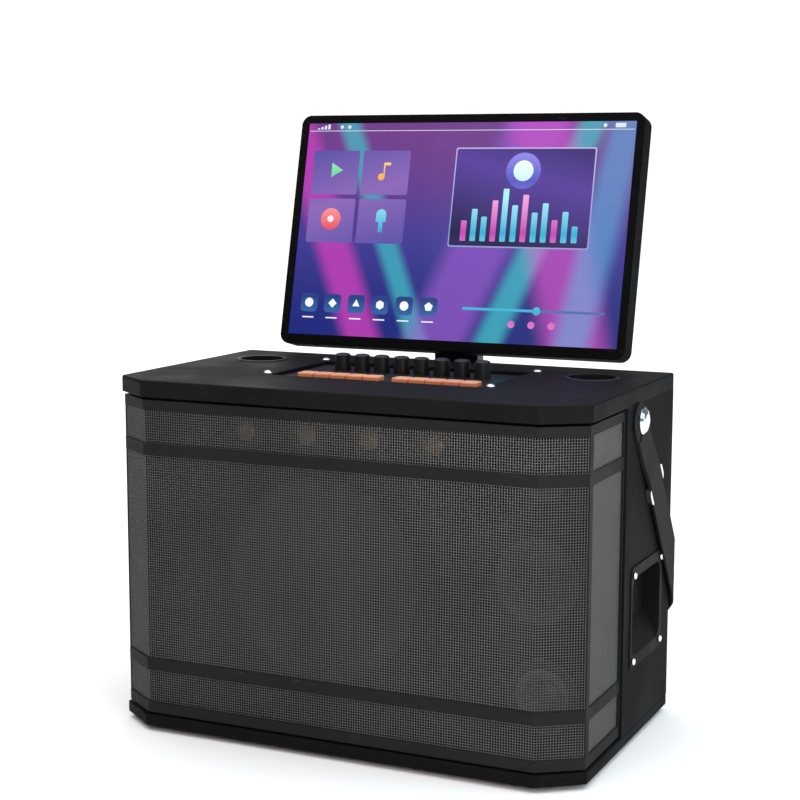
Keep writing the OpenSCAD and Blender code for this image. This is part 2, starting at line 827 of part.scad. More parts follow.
// Three-bar buckle of each arm: its bars lie under the webbing and its raised ends beside it
module strap_adjusters() {
  end_x = strap_x0 + strap_t + 1;
  color([0.85, 0.85, 0.87]) lift()
    for (s = [0, 1])
      mirror([s, 0, 0]) translate([0, stud_y, stud_z]) rotate([strap_lean, 0, 0])
        translate([adjust_x, 0, -adjust_r]) rotate([90, 0, 90]) {
          linear_extrude(adjust_t) buckle_outline();
          linear_extrude(end_x - adjust_x) difference() {
            buckle_outline();
            square([2 * (strap_end_r + 0.5), 4 * adjust_half], center = true);
          }
        }
}

// Moulded grip: flange, recess with a ramp up to its lower edge, and screw holes
module grip() {
  floor_x = half_w - pocket_d;
  mouth_x = half_w + flange_t;
  low_z = pocket_z - pocket_h / 2;
  color([0.08, 0.08, 0.08]) difference() {
    union() {
      translate([half_w, grip_y, grip_z]) rotate([90, 0, 90]) linear_extrude(flange_t)
        round_rect(grip_w, grip_h, flange_round);
      translate([half_w + eps - pocket_d - pocket_wall, pocket_y, pocket_z]) rotate([90, 0, 90])
        linear_extrude(pocket_d + pocket_wall) pocket_outline(pocket_wall);
    }
    intersection() {
      translate([floor_x, pocket_y, pocket_z]) rotate([90, 0, 90])
        linear_extrude(pocket_d + flange_t + 1) pocket_outline();
      translate([0, pocket_y + pocket_w, 0]) rotate([90, 0, 0]) linear_extrude(2 * pocket_w)
        polygon([[floor_x, low_z + ramp_h], [mouth_x, low_z], [mouth_x + 2, low_z],
                 [mouth_x + 2, low_z + pocket_h + 1], [floor_x, low_z + pocket_h + 1]]);
    }
    for (y = [-1, 1])
      for (z = [-1, 1])
        bar_x(grip_y + y * grip_screw_y, grip_z + z * grip_screw_z, grip_screw_r + screw_fit, half_w - 1,
              half_w + flange_t + 1);
  }
}

module grip_left() { lift() mirror([1, 0, 0]) grip(); }
module grip_right() { lift() grip(); }

module grip_screws() {
  color([0.7, 0.7, 0.7]) lift()
    for (s = [0, 1])
      mirror([s, 0, 0])
        for (y = [-1, 1])
          for (z = [-1, 1]) {
            at_y = grip_y + y * grip_screw_y;
            at_z = grip_z + z * grip_screw_z;
            bar_x(at_y, at_z, grip_screw_r, half_w - wood_bite, half_w + flange_t + grip_head_t / 2);
            bar_x(at_y, at_z, grip_head_r, half_w + flange_t, half_w + flange_t + grip_head_t);
          }
}

// Driver frame: front ring, conical basket with a wall, and the magnet behind
module driver_frame(d) {
  y0 = baffle_y0 - d[7];
  hole_r = d[3];
  depth = d[4];
  magnet_r = d[5];
  neck_r = magnet_r * 0.75;
  difference() {
    union() {
      bar_y(d[0], d[1], d[2], y0, baffle_y0);
      bar_y(d[0], d[1], hole_r, baffle_y0 - eps, baffle_y1 + 2);
      bar_y(d[0], d[1], hole_r, baffle_y1 + 2 - eps, baffle_y1 + depth, neck_r);
      bar_y(d[0], d[1], magnet_r, baffle_y1 + depth - eps, baffle_y1 + depth + d[6]);
    }
    bar_y(d[0], d[1], hole_r - basket_wall, y0 - 1, baffle_y1);
    bar_y(d[0], d[1], hole_r - basket_wall, baffle_y1 - eps, baffle_y1 + depth - 4, neck_r - basket_wall);
  }
}

// Driver cone: roll surround, cone and dust cap in one moving diaphragm
module driver_cone(d) {
  y0 = baffle_y0 - d[7];
  rim_r = d[3] - basket_wall - cone_gap;
  cone_r = rim_r - 5;
  depth = d[8];
  cap_r = d[9];
  difference() {
    union() {
      bar_y(d[0], d[1], rim_r, y0 + 1, y0 + 3.5);
      bar_y(d[0], d[1], cone_r, y0 + 3, y0 + depth + cone_t, cap_r);
    }
    bar_y(d[0], d[1], cone_r - cone_t, y0, y0 + 3 + eps);
    bar_y(d[0], d[1], cone_r - cone_t, y0 + 3, y0 + depth, cap_r - cone_t);
  }
  bar_y(d[0], d[1], cap_r * 0.4, y0 + depth - 5, y0 + depth - 2, cap_r - 1);
  bar_y(d[0], d[1], cap_r - 1, y0 + depth - 2 - eps, y0 + depth + cone_t);
}

module woofer_frame() {
  color([0.3, 0.3, 0.32]) lift() driver_frame(WOOFER);
}
module woofer_cone() {
  color([0.1, 0.1, 0.1]) lift() driver_cone(WOOFER);
}
module mid_frame() {
  color([0.3, 0.3, 0.32]) lift() driver_frame(MID);
}
module mid_cone() {
  color([0.1, 0.1, 0.1]) lift() driver_cone(MID);
}
module low_frame() {
  color([0.3, 0.3, 0.32]) lift() driver_frame(LOW);
}
module low_cone() {
  color([0.75, 0.75, 0.75]) lift() driver_cone(LOW);
}

// Small closed driver: flange, dome and magnet
module dome_driver(d) {
  y0 = baffle_y0 - ring_t_small;
  hole_r = d[3];
  bar_y(d[0], d[1], d[2], y0, baffle_y0);
  bar_y(d[0], d[1], hole_r, baffle_y0 - eps, baffle_y1 + hole_r / 2);
  bar_y(d[0], d[1], hole_r * 0.4, y0 - dome_lift, y0 + eps, hole_r * 0.75);
}

module small_driver() {
  color([0.3, 0.3, 0.3]) lift() dome_driver(SMALL);
}
module tweeters() {
  color([0.55, 0.5, 0.4]) lift()
    for (x = TWEETER_X)
      dome_driver([x, tweeter_z, tweeter_r, tweeter_hole_r]);
}

// Connection plate with jack bores, a mains inlet recess and a switch opening
module rear_plate() {
  z = rear_plate_z;
  iw = inlet_w / 2;
  ih = inlet_h / 2;
  sw = switch_slot_w / 2;
  sh = switch_slot_h / 2;
  color([0.12, 0.12, 0.12]) lift() difference() {
    union() {
      box(-rear_plate_w / 2, rear_plate_w / 2, rear_face, rear_face + rear_plate_t,
          z - rear_plate_h / 2, z + rear_plate_h / 2);
      for (x = JACK_X)
        bar_y(x, z, jack_out_r, rear_face - jack_deep - 2, rear_face + jack_nose);
      box(inlet_x - iw - inlet_wall, inlet_x + iw + inlet_wall, rear_face - inlet_deep - inlet_wall,
          rear_face + eps, z - ih - inlet_wall, z + ih + inlet_wall);
      box(switch_x - sw - housing_wall, switch_x + sw + housing_wall, rear_face - housing_deep,
          rear_face + eps, z - sh - housing_wall, z + sh + housing_wall);
    }
    for (x = JACK_X)
      bar_y(x, z, jack_r, rear_face - jack_deep, rear_face + jack_nose + 1);
    box(inlet_x - iw, inlet_x + iw, rear_face - inlet_deep, rear_face + 2 * rear_plate_t, z - ih, z + ih);
    box(switch_x - sw, switch_x + sw, rear_face - housing_deep + housing_wall,
        rear_face + 2 * rear_plate_t, z - sh, z + sh);
    bar_x(rear_face - rocker_back, z, rocker_pin_r + 0.05, switch_x - sw - housing_wall - 1,
          switch_x + sw + housing_wall + 1);
  }
}

// Rocker on two pins in the plate's housing, standing a little out of its opening
module power_switch() {
  color([0.1, 0.1, 0.1]) lift()
    translate([switch_x, rear_face - rocker_back, rear_plate_z]) rotate([rocker_swing, 0, 0]) {
      box(-rocker_w / 2, rocker_w / 2, -rocker_in, rocker_out, -rocker_h / 2, rocker_h / 2);
      for (s = [-1, 1])
        translate([s * (rocker_w + housing_wall) / 2, 0, 0]) rotate([0, 90, 0])
          cylinder(h = housing_wall + 1, r = rocker_pin_r, center = true);
    }
}

// Board on standoffs with a heat sink along its rear and a coil
module amplifier_board() {
  z0 = base_t + amp_lift;
  z1 = z0 + board_t;
  edge = 8;
  color([0.1, 0.35, 0.2]) lift() {
    box(amp_x, amp_x + amp_w, amp_y, amp_y + amp_d, z0, z1);
    for (x = [amp_x + edge, amp_x + amp_w - edge])
      for (y = [amp_y + edge, amp_y + amp_d - edge])
        translate([x, y, base_t]) cylinder(h = amp_lift + eps, r = standoff_r);
    translate([amp_x + 20, amp_y + amp_d - sink_d - 12, z1 - eps]) cube([sink_w, sink_d, sink_h]);
    translate([amp_x + 30, amp_y + 15, z1 - eps]) cube([coil_w, coil_w, coil_h]);
  }
}

module battery_pack() {
  color([0.1, 0.15, 0.4]) lift() translate([battery_x, battery_y, base_t])
    cube([battery_w, battery_d, battery_h]);
}

base_board();
top_board();
left_side();
right_side();
back_panel();
front_baffle();
cabinet_battens();
rubber_feet();
grille_frame();
grille_mesh();
grille_trim();
control_panel();
control_screws();
mixer_board();
potentiometers();
for (i = [1:KNOBS])
  knob(i);
for (i = [1:KEYS])
  key(i);
mic_well_left();
mic_well_right();
display_shell();
display_bezel();
display_panel();
display_board();
display_bracket();
neck_bracket();
hinge_pin();
carry_strap();
strap_studs();
strap_adjusters();
grip_left();
grip_right();
grip_screws();
woofer_frame();
woofer_cone();
mid_frame();
mid_cone();
low_frame();
low_cone();
small_driver();
tweeters();
rear_plate();
power_switch();
amplifier_board();
battery_pack();
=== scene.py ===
# Looks of the portable karaoke speaker: a dark chamfered cabinet with a wire grille, a sunk control
# field, a tilting glass display, hand grips and a webbing strap. Lengths are in millimetres and are
# turned into metres where a piece is made. +X is right, +Y is to the rear, +Z is up.
import json
import math
import bpy
from mathutils import Matrix, Vector


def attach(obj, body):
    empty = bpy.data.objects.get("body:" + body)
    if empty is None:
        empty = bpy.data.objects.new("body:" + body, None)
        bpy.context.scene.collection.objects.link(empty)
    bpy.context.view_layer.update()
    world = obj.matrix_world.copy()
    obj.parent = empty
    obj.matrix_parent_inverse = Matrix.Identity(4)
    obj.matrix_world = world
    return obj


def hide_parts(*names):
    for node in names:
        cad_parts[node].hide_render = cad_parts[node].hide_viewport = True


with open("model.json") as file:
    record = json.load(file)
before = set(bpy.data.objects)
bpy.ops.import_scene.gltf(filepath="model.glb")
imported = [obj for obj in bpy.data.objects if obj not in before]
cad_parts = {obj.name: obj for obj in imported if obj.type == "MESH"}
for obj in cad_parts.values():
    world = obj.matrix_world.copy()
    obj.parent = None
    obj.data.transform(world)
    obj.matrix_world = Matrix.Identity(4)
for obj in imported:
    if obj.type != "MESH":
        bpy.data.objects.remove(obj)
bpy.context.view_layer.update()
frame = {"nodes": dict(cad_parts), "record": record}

MM = 0.001

# Cabinet
FOOT_H = 6.0
HALF_W = 265.0
HALF_D = 153.5
TOP_Z = 380.0
TOP_UNDER = 362.3
TOP_EDGE_R = 2.6
BASE_TOP = 18.3
CHAMFER_X = 43.2
CHAMFER_Y = 31.5
CHAMFER_RUN = math.hypot(CHAMFER_X, CHAMFER_Y)

# Control well and microphone wells
WELL_X = 124.0
WELL_Y = (-52.0, 86.0)
PLATE_Z = 375.9
KEY_COUNT = 10
KEY_FACE_Z = TOP_Z - 0.4
MIC_X = 200.0
MIC_Y = 68.6
MIC_R = 27.1

# Knobs: the crown's steps are how far each one grows and rises
KNOB_COUNT = 8
KNOB_PITCH = 24.0
KNOB_Y = 45.8
KNOB_FOOT = PLATE_Z + 0.3
KNOB_TOP = 395.3
KNOB_R = 9.0
KNOB_TAPER = 0.3
KNOB_SIDES = 72
KNOB_CROWN_H = 2.4
KNOB_CROWN = ((-0.5, 0.9), (-1.3, 0.9), (-2.4, 0.6))
FLUTE_INSET = 0.12
FLUTE_DEPTH = 0.35

# Grille
MESH_PITCH = 2.75
WIRE_R = 0.38
MESH_Z = (20.5, 359.3)
MESH_DEPTH = 4.7
WING_Y = -12.5
TWEETER_DOME_Y = -118.8

# Display: the middle of its front face, its lean and how far behind that face the glass lies
DISPLAY_AT = Vector((0, 167.0, 527.0))
DISPLAY_LEAN = math.radians(-13.3)
SCREEN_W = 408.2
SCREEN_FACE = 1.2

# Motifs on the screen: their thickness and the three layers that they lie in, in front of the glass
MOTIF_T = 0.12
LOW_LAYER = SCREEN_FACE - 0.2
MIDDLE_LAYER = SCREEN_FACE - 0.4
HIGH_LAYER = SCREEN_FACE - 0.6

# Strap: a band down each side, round the rear edge and behind the cabinet
STUD_Y = 23.0
STUD_Z = 345.0
STUD_HOLE_R = 4.2
STRAP_W = 40.0
STRAP_END_R = 18.8
STRAP_SHIFT = STRAP_W / 2 - STRAP_END_R
STRAP_WIDEN = (106.0, 126.0)
STRAP_T = 2.4
STRAP_LEAN = math.radians(35.3)
STRAP_NEAR_X = 265.4
STRAP_FAR_X = 268.1
STRAP_RISE = (38.0, 78.0)
STRAP_BACK_H = 155.1 - STUD_Y
STRAP_LOW_Z = 54.0
STRAP_TURN_R = 60.0
STRAP_BEND_R = 8.0
STRAP_SAG = -1.2
STRAP_REACH = 900.0
TAIL_RUN = (15.5, 97.0)
TAIL_T = 1.3
TAIL_LIFT = STRAP_T / 2 + 0.55
TAIL_INSET = 0.5

# Hand grips: the middle of the four screws, the distances to them, the flange and a screw's head
GRIP_Y = 64.0
GRIP_Z = 138.4
GRIP_SCREW_Y = 48.5
GRIP_SCREW_Z = 45.75
GRIP_FLANGE_T = 1.5
SCREW_HEAD_R = 3.7
SCREW_HEAD_H = 2.8
SCREW_DOME = 1.9

# Camera of the photograph
CAMERA_AT = Vector((763.6, -1640.2, 606.0))
CAMERA_AZ = math.radians(24.756)
CAMERA_DOWN = math.radians(7.959)
CAMERA_ROLL = math.radians(0.1225)
CAMERA_LENS = 76.468
CAMERA_FILM_W = 36.0

# Studio, in metres
FLOOR_W = 60.0
BACKDROP_AT = Vector((-2.6, 6.0, 0))
BACKDROP_W = 7.0
BACKDROP_H = 1.5
BACKDROP_GLOW = 1.05
WORLD_LIGHT = 0.2
OVERHEAD_POWER = 3.4
OVERHEAD_SPREAD = math.radians(100)
WHITE = (1, 1, 1)

# Area lights: name, place, aim, size, power in watts and colour
SOFT_LIGHTS = (
    ("key", (-0.6, -2.8, 1.7), (0, 0, 0.3), (1.6, 1.2), 9, WHITE),
    ("side", (2.4, 0.2, 0.9), (0.2, 0, 0.2), (1.0, 1.6), 20, (0.30, 0.78, 1.0)),
    ("front right", (0.64, -0.75, 0.35), (0.2, -0.15, 0.2), (0.14, 0.2), 2.7, (1.0, 0.84, 0.80)),
    ("back", (-2.6, 3.6, 1.7), (-0.2, 0, 0.4), (1.6, 0.8), 10, WHITE),
)

# Modelling: how far a cutting tool overshoots, how near in metres two points count as one, and the
# angle under which two faces count as flat
OVERCUT = 5.0
WELD = 0.00001
WEBBING_WELD = 0.00002
FLAT_ANGLE = math.radians(0.6)


# Mesh tools

def new_object(name, data):
    obj = bpy.data.objects.new(name, data)
    bpy.context.collection.objects.link(obj)
    return obj


def deselect():
    for obj in bpy.context.selected_objects:
        obj.select_set(False)


def activate(obj):
    deselect()
    obj.select_set(True)
    bpy.context.view_layer.objects.active = obj


def settle(obj, name):
    """Names a new piece and puts its place into its mesh."""
    obj.name = name
    obj.data.name = name
    activate(obj)
    bpy.ops.object.transform_apply(location=True, rotation=True, scale=True)
    return obj


def block(name, low, high):
    low, high = Vector(low) * MM, Vector(high) * MM
    deselect()
    bpy.ops.mesh.primitive_cube_add(size=1, location=(low + high) / 2)
    obj = bpy.context.active_object
    obj.scale = high - low
    return settle(obj, name)


def rod(name, start, end, radius, sides, taper=0.0):
    """A round bar from one point to another, thinner by the taper at its end."""
    start, end = Vector(start) * MM, Vector(end) * MM
    line = end - start
    deselect()
    bpy.ops.mesh.primitive_cone_add(
        vertices=sides, radius1=radius * MM, radius2=(radius - taper) * MM,
        depth=line.length, location=(start + end) / 2, rotation=line.to_track_quat("Z", "Y").to_euler())
    return settle(bpy.context.active_object, name)


def edit(obj, select=None, kind="EDGE"):
    """Opens edit mode with all selected, or with only the edges or faces that pass a test."""
    activate(obj)
    bpy.ops.object.mode_set(mode="EDIT")
    bpy.ops.mesh.select_mode(type=kind)
    bpy.ops.mesh.select_all(action="SELECT" if select is None else "DESELECT")
    if select is None:
        return
    bpy.ops.object.mode_set(mode="OBJECT")
    for item in obj.data.edges if kind == "EDGE" else obj.data.polygons:
        item.select = bool(select(item))
    bpy.ops.object.mode_set(mode="EDIT")


def done():
    bpy.ops.object.mode_set(mode="OBJECT")


def edge_run(obj, edge):
    a, b = (obj.data.vertices[i].co for i in edge.vertices)
    return (b - a).normalized()


def slice_off(obj, point, normal):
    """Cuts away what lies past a plane and closes the cut."""
    edit(obj)
    bpy.ops.mesh.bisect(plane_co=Vector(point) * MM, plane_no=normal, use_fill=True, clear_outer=True)
    done()


def apply_all(obj):
    activate(obj)
    for modifier in list(obj.modifiers):
        bpy.ops.object.modifier_apply(modifier=modifier.name)


def cut(obj, *tools):
    for tool in tools:
        boolean = obj.modifiers.new("cut", "BOOLEAN")
        boolean.operation = "DIFFERENCE"
        boolean.solver = "EXACT"
        boolean.object = tool
        apply_all(obj)
        bpy.data.objects.remove(tool)
    return obj


def round_edges(obj, width, segments, angle):
    bevel = obj.modifiers.new("edge", "BEVEL")
    bevel.width = width * MM
    bevel.segments = segments
    bevel.limit_method = "ANGLE"
    bevel.angle_limit = math.radians(angle)
    bevel.use_clamp_overlap = True
    apply_all(obj)
    return obj


def smooth(obj, angle=35):
    """Smooth shading between sharp edges, with normals that keep flat faces flat."""
    activate(obj)
    bpy.ops.object.shade_smooth_by_angle(angle=math.radians(angle))
    weighted = obj.modifiers.new("normals", "WEIGHTED_NORMAL")
    weighted.keep_sharp = True
    apply_all(obj)
    return obj


def join(name, objs):
    deselect()
    for obj in objs:
        obj.select_set(True)
    bpy.context.view_layer.objects.active = objs[0]
    bpy.ops.object.join()
    obj = bpy.context.active_object
    obj.name = name
    obj.data.name = name
    return obj


def move(obj, x, y, z):
    """Moves a mesh, not its object."""
    obj.data.transform(Matrix.Translation(Vector((x, y, z)) * MM))


def repeat(obj, count, step):
    """Lines up copies of a mesh, each one step in metres past the last."""
    array = obj.modifiers.new("row", "ARRAY")
    array.count = count
    array.use_relative_offset = False
    array.use_constant_offset = True
    array.constant_offset_displace = step
    apply_all(obj)
    return obj


def copy_of(obj):
    new = obj.copy()
    new.data = obj.data.copy()
    bpy.context.collection.objects.link(new)
    return new


def mirrored(obj):
    """A copy on the other side of the cabinet's middle plane."""
    new = copy_of(obj)
    new.data.transform(Matrix.Diagonal((-1, 1, 1, 1)))
    new.data.flip_normals()
    return new


def softened(node, width, segments, angle):
    """A copy of a CAD node with its loose triangles merged, flat faces cleared and sharp edges rounded."""
    obj = new_object(node + "_soft", frame["nodes"][node].data.copy())
    obj.data.materials.clear()
    edit(obj)
    bpy.ops.mesh.remove_doubles(threshold=WELD)
    bpy.ops.mesh.dissolve_limited(angle_limit=FLAT_ANGLE)
    done()
    round_edges(obj, width, segments, angle)
    return smooth(obj)


def accent(obj, material, test):
    """Gives the faces that pass a test a second material; the test gets a face's middle."""
    obj.data.materials.append(material)
    for face in obj.data.polygons:
        if test(face.center / MM):
            face.material_index = len(obj.data.materials) - 1
    return obj


def body_of_node(node):
    for body, nodes in frame["record"]["behaviour"]["bodies"].items():
        if node in nodes:
            return body
    return None


def wear(obj, material, body, slot, *nodes):
    """Gives a piece its material and its body, and hides the nodes that it stands for."""
    obj.data.materials.clear()
    obj.data.materials.append(material)
    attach(obj, body)
    if nodes:
        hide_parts(*nodes)
    return obj


def slot_of(node):
    for part in frame["record"]["subparts"]:
        if part["node"] == node:
            return part["material_slot"]
    return None


def restyle(node, width, material, segments=2, angle=35):
    """Replaces a CAD node by its softened copy."""
    obj = softened(node, width, segments, angle)
    return wear(obj, material, body_of_node(node), slot_of(node), node)


def paint(node, material):
    obj = frame["nodes"][node]
    obj.data.materials.clear()
    obj.data.materials.append(material)


# Shader tools

class Nodes:
    """Small helper that adds and links shader nodes in one tree."""

    def __init__(self, tree):
        self.tree = tree

    def add(self, kind, **values):
        node = self.tree.nodes.new(kind)
        for key, value in values.items():
            setattr(node, key, value)
        return node

    def link(self, out, into):
        self.tree.links.new(out, into)

    def put(self, socket, value):
        if isinstance(value, bpy.types.NodeSocket):
            self.link(value, socket)
        else:
            socket.default_value = value

    def math(self, operation, a, b=0.0, c=None):
        node = self.add("ShaderNodeMath", operation=operation)
        self.put(node.inputs[0], a)
        self.put(node.inputs[1], b)
        if c is not None:
            self.put(node.inputs[2], c)
        return node.outputs[0]

    def mix(self, amount, a, b):
        node = self.add("ShaderNodeMix", data_type="RGBA")
        self.put(node.inputs[0], amount)
        self.put(node.inputs[6], a)
        self.put(node.inputs[7], b)
        return node.outputs[2]

    def noise(self, vector, scale, detail, roughness):
        node = self.add("ShaderNodeTexNoise")
        self.put(node.inputs["Vector"], vector)
        self.put(node.inputs["Scale"], scale)
        self.put(node.inputs["Detail"], detail)
        self.put(node.inputs["Roughness"], roughness)
        return node.outputs["Fac"]

    def spread(self, value, low, high, out_low=0.0, out_high=1.0):
        node = self.add("ShaderNodeMapRange")
        node.interpolation_type = "SMOOTHSTEP"
        self.put(node.inputs["Value"], value)
        limits = {"From Min": low, "From Max": high, "To Min": out_low, "To Max": out_high}
        for key, amount in limits.items():
            self.put(node.inputs[key], amount)
        return node.outputs["Result"]

    def ridge(self, value):
        """Rises from 0 to 1 and falls back to 0 as the value goes from 0 to 1."""
        away = self.math("ABSOLUTE", self.math("MULTIPLY_ADD", value, 2.0, -1.0))
        return self.math("SUBTRACT", 1.0, away)

    def bump(self, height, strength, distance):
        node = self.add("ShaderNodeBump")
        node.inputs["Strength"].default_value = strength
        node.inputs["Distance"].default_value = distance
        self.link(height, node.inputs["Height"])
        return node.outputs["Normal"]


def group(name, inputs, outputs, build):
    """A shader node group with named float inputs and outputs."""
    tree = bpy.data.node_groups.new(name, "ShaderNodeTree")
    for key, value in inputs.items():
        socket = tree.interface.new_socket(key, in_out="INPUT", socket_type="NodeSocketFloat")
        socket.default_value = value
    for key in outputs:
        tree.interface.new_socket(key, in_out="OUTPUT", socket_type="NodeSocketFloat")
    nodes = Nodes(tree)
    start = nodes.add("NodeGroupInput")
    end = nodes.add("NodeGroupOutput")
    for key, socket in build(nodes, start.outputs).items():
        nodes.link(socket, end.inputs[key])
    return tree


def build_grain(n, given):
    """Fine pimpled grain of coated board and moulded plastic, with slow clouds of handling on top."""
    place = n.add("ShaderNodeTexCoord").outputs["Object"]
    fine = n.noise(place, given["Grain per metre"], 2.0, 0.6)
    cloud = n.noise(place, given["Clouds per metre"], 4.0, 0.55)
    return {"Height": fine, "Cloud": n.spread(cloud, 0.3, 0.7)}


def build_scuff(n, given):
    """Thin short scratches and a mask of dust that lies on faces that look up."""
    place = n.add("ShaderNodeTexCoord").outputs["Object"]
    mapping = n.add("ShaderNodeMapping")
    n.link(place, mapping.inputs["Vector"])
    mapping.inputs["Scale"].default_value = (1.0, 9.0, 4.0)
    scratch = n.noise(mapping.outputs[0], given["Scratches per metre"], 5.0, 0.7)
    facing = n.add("ShaderNodeNewGeometry").outputs["Normal"]
    split = n.add("ShaderNodeSeparateXYZ")
    n.link(facing, split.inputs[0])
    up = n.spread(split.outputs["Z"], 0.4, 1.0)
    speck = n.spread(n.noise(place, given["Dust per metre"], 6.0, 0.75), 0.56, 0.72)
    return {"Scratch": n.spread(scratch, 0.6, 0.75), "Dust": n.math("MULTIPLY", up, speck)}


def build_twill(n, given):
    """Webbing: raised ribs across the strap with a twill slant, on a UV map in metres."""
    place = n.add("ShaderNodeTexCoord").outputs["UV"]
    split = n.add("ShaderNodeSeparateXYZ")
    n.link(place, split.inputs[0])
    along = n.math("MULTIPLY", split.outputs["X"], given["Ribs per metre"])
    across = n.math("MULTIPLY", split.outputs["Y"], given["Yarns per metre"])
    slant = n.math("FRACT", n.math("ADD", along, n.math("MULTIPLY", across, 0.5)))
    yarn = n.math("FRACT", across)
    rib = n.math("POWER", n.ridge(slant), 0.6)
    round_yarn = n.math("POWER", n.ridge(yarn), 0.5)
    return {"Height": n.math("MULTIPLY", rib, round_yarn)}


GRAIN = group("grain", {"Grain per metre": 900.0, "Clouds per metre": 9.0},
              ["Height", "Cloud"], build_grain)
SCUFF = group("scuff", {"Scratches per metre": 60.0, "Dust per metre": 700.0},
              ["Scratch", "Dust"], build_scuff)
TWILL = group("twill", {"Ribs per metre": 420.0, "Yarns per metre": 520.0},
              ["Height"], build_twill)
SCRATCH_TONE = (0.32, 0.32, 0.33, 1)
DUST_TONE = (0.45, 0.43, 0.41, 1)
GRAIN_DEPTH = 0.00004
TWILL_DEPTH = 0.0004


def tone(color, factor):
    return (color[0] * factor, color[1] * factor, color[2] * factor, 1.0)


def new_material(name):
    """A new material with the helper for its nodes and its shader."""
    material = bpy.data.materials.new(name)
    material.use_nodes = True
    return material, Nodes(material.node_tree), material.node_tree.nodes["Principled BSDF"]


def finish(name, color, rough, metal=0.0, grain=900.0, bump=0.25, cloud=0.12,
           dust=0.0, scratch=0.05, coat=0.0, specular=0.5):
    """Base material of a solid finish: tone clouds, uneven gloss, grain bump, scratches and dust."""
    material, n, shader = new_material(name)
    grains = n.add("ShaderNodeGroup", node_tree=GRAIN)
    grains.inputs["Grain per metre"].default_value = grain
    scuffs = n.add("ShaderNodeGroup", node_tree=SCUFF)
    base = n.mix(grains.outputs["Cloud"], tone(color, 1 - cloud), tone(color, 1 + cloud))
    base = n.mix(n.math("MULTIPLY", scuffs.outputs["Scratch"], scratch), base, SCRATCH_TONE)
    base = n.mix(n.math("MULTIPLY", scuffs.outputs["Dust"], dust), base, DUST_TONE)
    n.link(base, shader.inputs["Base Color"])
    gloss = n.spread(grains.outputs["Cloud"], 0.0, 1.0, rough * 0.88, min(1.0, rough * 1.12))
    gloss = n.math("ADD", gloss, n.math("MULTIPLY", scuffs.outputs["Scratch"], scratch))
    n.link(gloss, shader.inputs["Roughness"])
    n.link(n.bump(grains.outputs["Height"], bump, GRAIN_DEPTH), shader.inputs["Normal"])
    shader.inputs["Metallic"].default_value = metal
    shader.inputs["Coat Weight"].default_value = coat
    shader.inputs["Coat Roughness"].default_value = 0.05
    shader.inputs["Specular IOR Level"].default_value = specular
    return material


def webbing_finish(name, color):
    """Woven strap: twill ribs in height and in painted shade, darker in the grooves and paler on the
    crests, with a little sheen and lint.
    """
    material, n, shader = new_material(name)
    twill = n.add("ShaderNodeGroup", node_tree=TWILL)
    grains = n.add("ShaderNodeGroup", node_tree=GRAIN)
    # Painted shade: the colour follows the ribs' height, darker in the grooves and paler on the crests.
    base = n.mix(twill.outputs["Height"], tone(color, 0.45), tone(color, 1.5))
    base = n.mix(n.math("MULTIPLY", grains.outputs["Cloud"], 0.25), base, tone(color, 2.2))
    n.link(base, shader.inputs["Base Color"])
    n.link(n.spread(twill.outputs["Height"], 0.0, 1.0, 0.95, 0.7), shader.inputs["Roughness"])
    n.link(n.bump(twill.outputs["Height"], 0.8, TWILL_DEPTH), shader.inputs["Normal"])
    shader.inputs["Sheen Weight"].default_value = 0.05
    shader.inputs["Specular IOR Level"].default_value = 0.06
    return material


# Finishes of this object

BOARD = finish("board_vinyl", (0.0065, 0.0065, 0.0068), 0.62,
               grain=1100, bump=0.35, dust=0.05, cloud=0.18, specular=0.06)
# Painted shade: a darker copy of the board vinyl, worn by the base board.
BOARD_PAINTED_SHADE = finish("board_vinyl_painted_shade", (0.005, 0.005, 0.0052), 0.65,
                    grain=1100, bump=0.35, dust=0.06, specular=0.05)
SIDE = finish("side_vinyl", (0.0080, 0.0080, 0.0083), 0.7,
              grain=1000, bump=0.4, dust=0.05, cloud=0.2, specular=0.04)
RAIL = finish("rail_plastic", (0.0132, 0.0132, 0.0132), 0.6,
              grain=1500, bump=0.3, dust=0.06, specular=0.07)
FRAME_BLACK = finish("grille_frame_black", (0.003, 0.003, 0.003), 0.6, specular=0.1)
WIRE = finish("grille_wire", (0.10, 0.101, 0.102), 0.42,
              metal=0.45, grain=2500, bump=0.2, cloud=0.1, specular=0.3)
BAFFLE = finish("baffle_felt", (0.003, 0.003, 0.003), 0.9, grain=2200, bump=0.7, specular=0.05)
WELL_FLOOR = finish("well_plate", (0.010, 0.010, 0.0105), 0.42,
                    grain=1400, bump=0.35, dust=0.15, specular=0.2)
SCREW = finish("screw_steel", (0.62, 0.62, 0.63), 0.24, metal=1.0, grain=3000, bump=0.1)
CHROME = finish("chrome_plate", (0.80, 0.80, 0.81), 0.10, metal=1.0, grain=600, bump=0.03, scratch=0.1)
KNOB = finish("knob_plastic", (0.010, 0.010, 0.011), 0.38, grain=2600, bump=0.3, dust=0.08, specular=0.3)
KEY = finish("key_plastic", (0.84, 0.27, 0.12), 0.36, grain=2000, bump=0.15, cloud=0.05, coat=0.2)
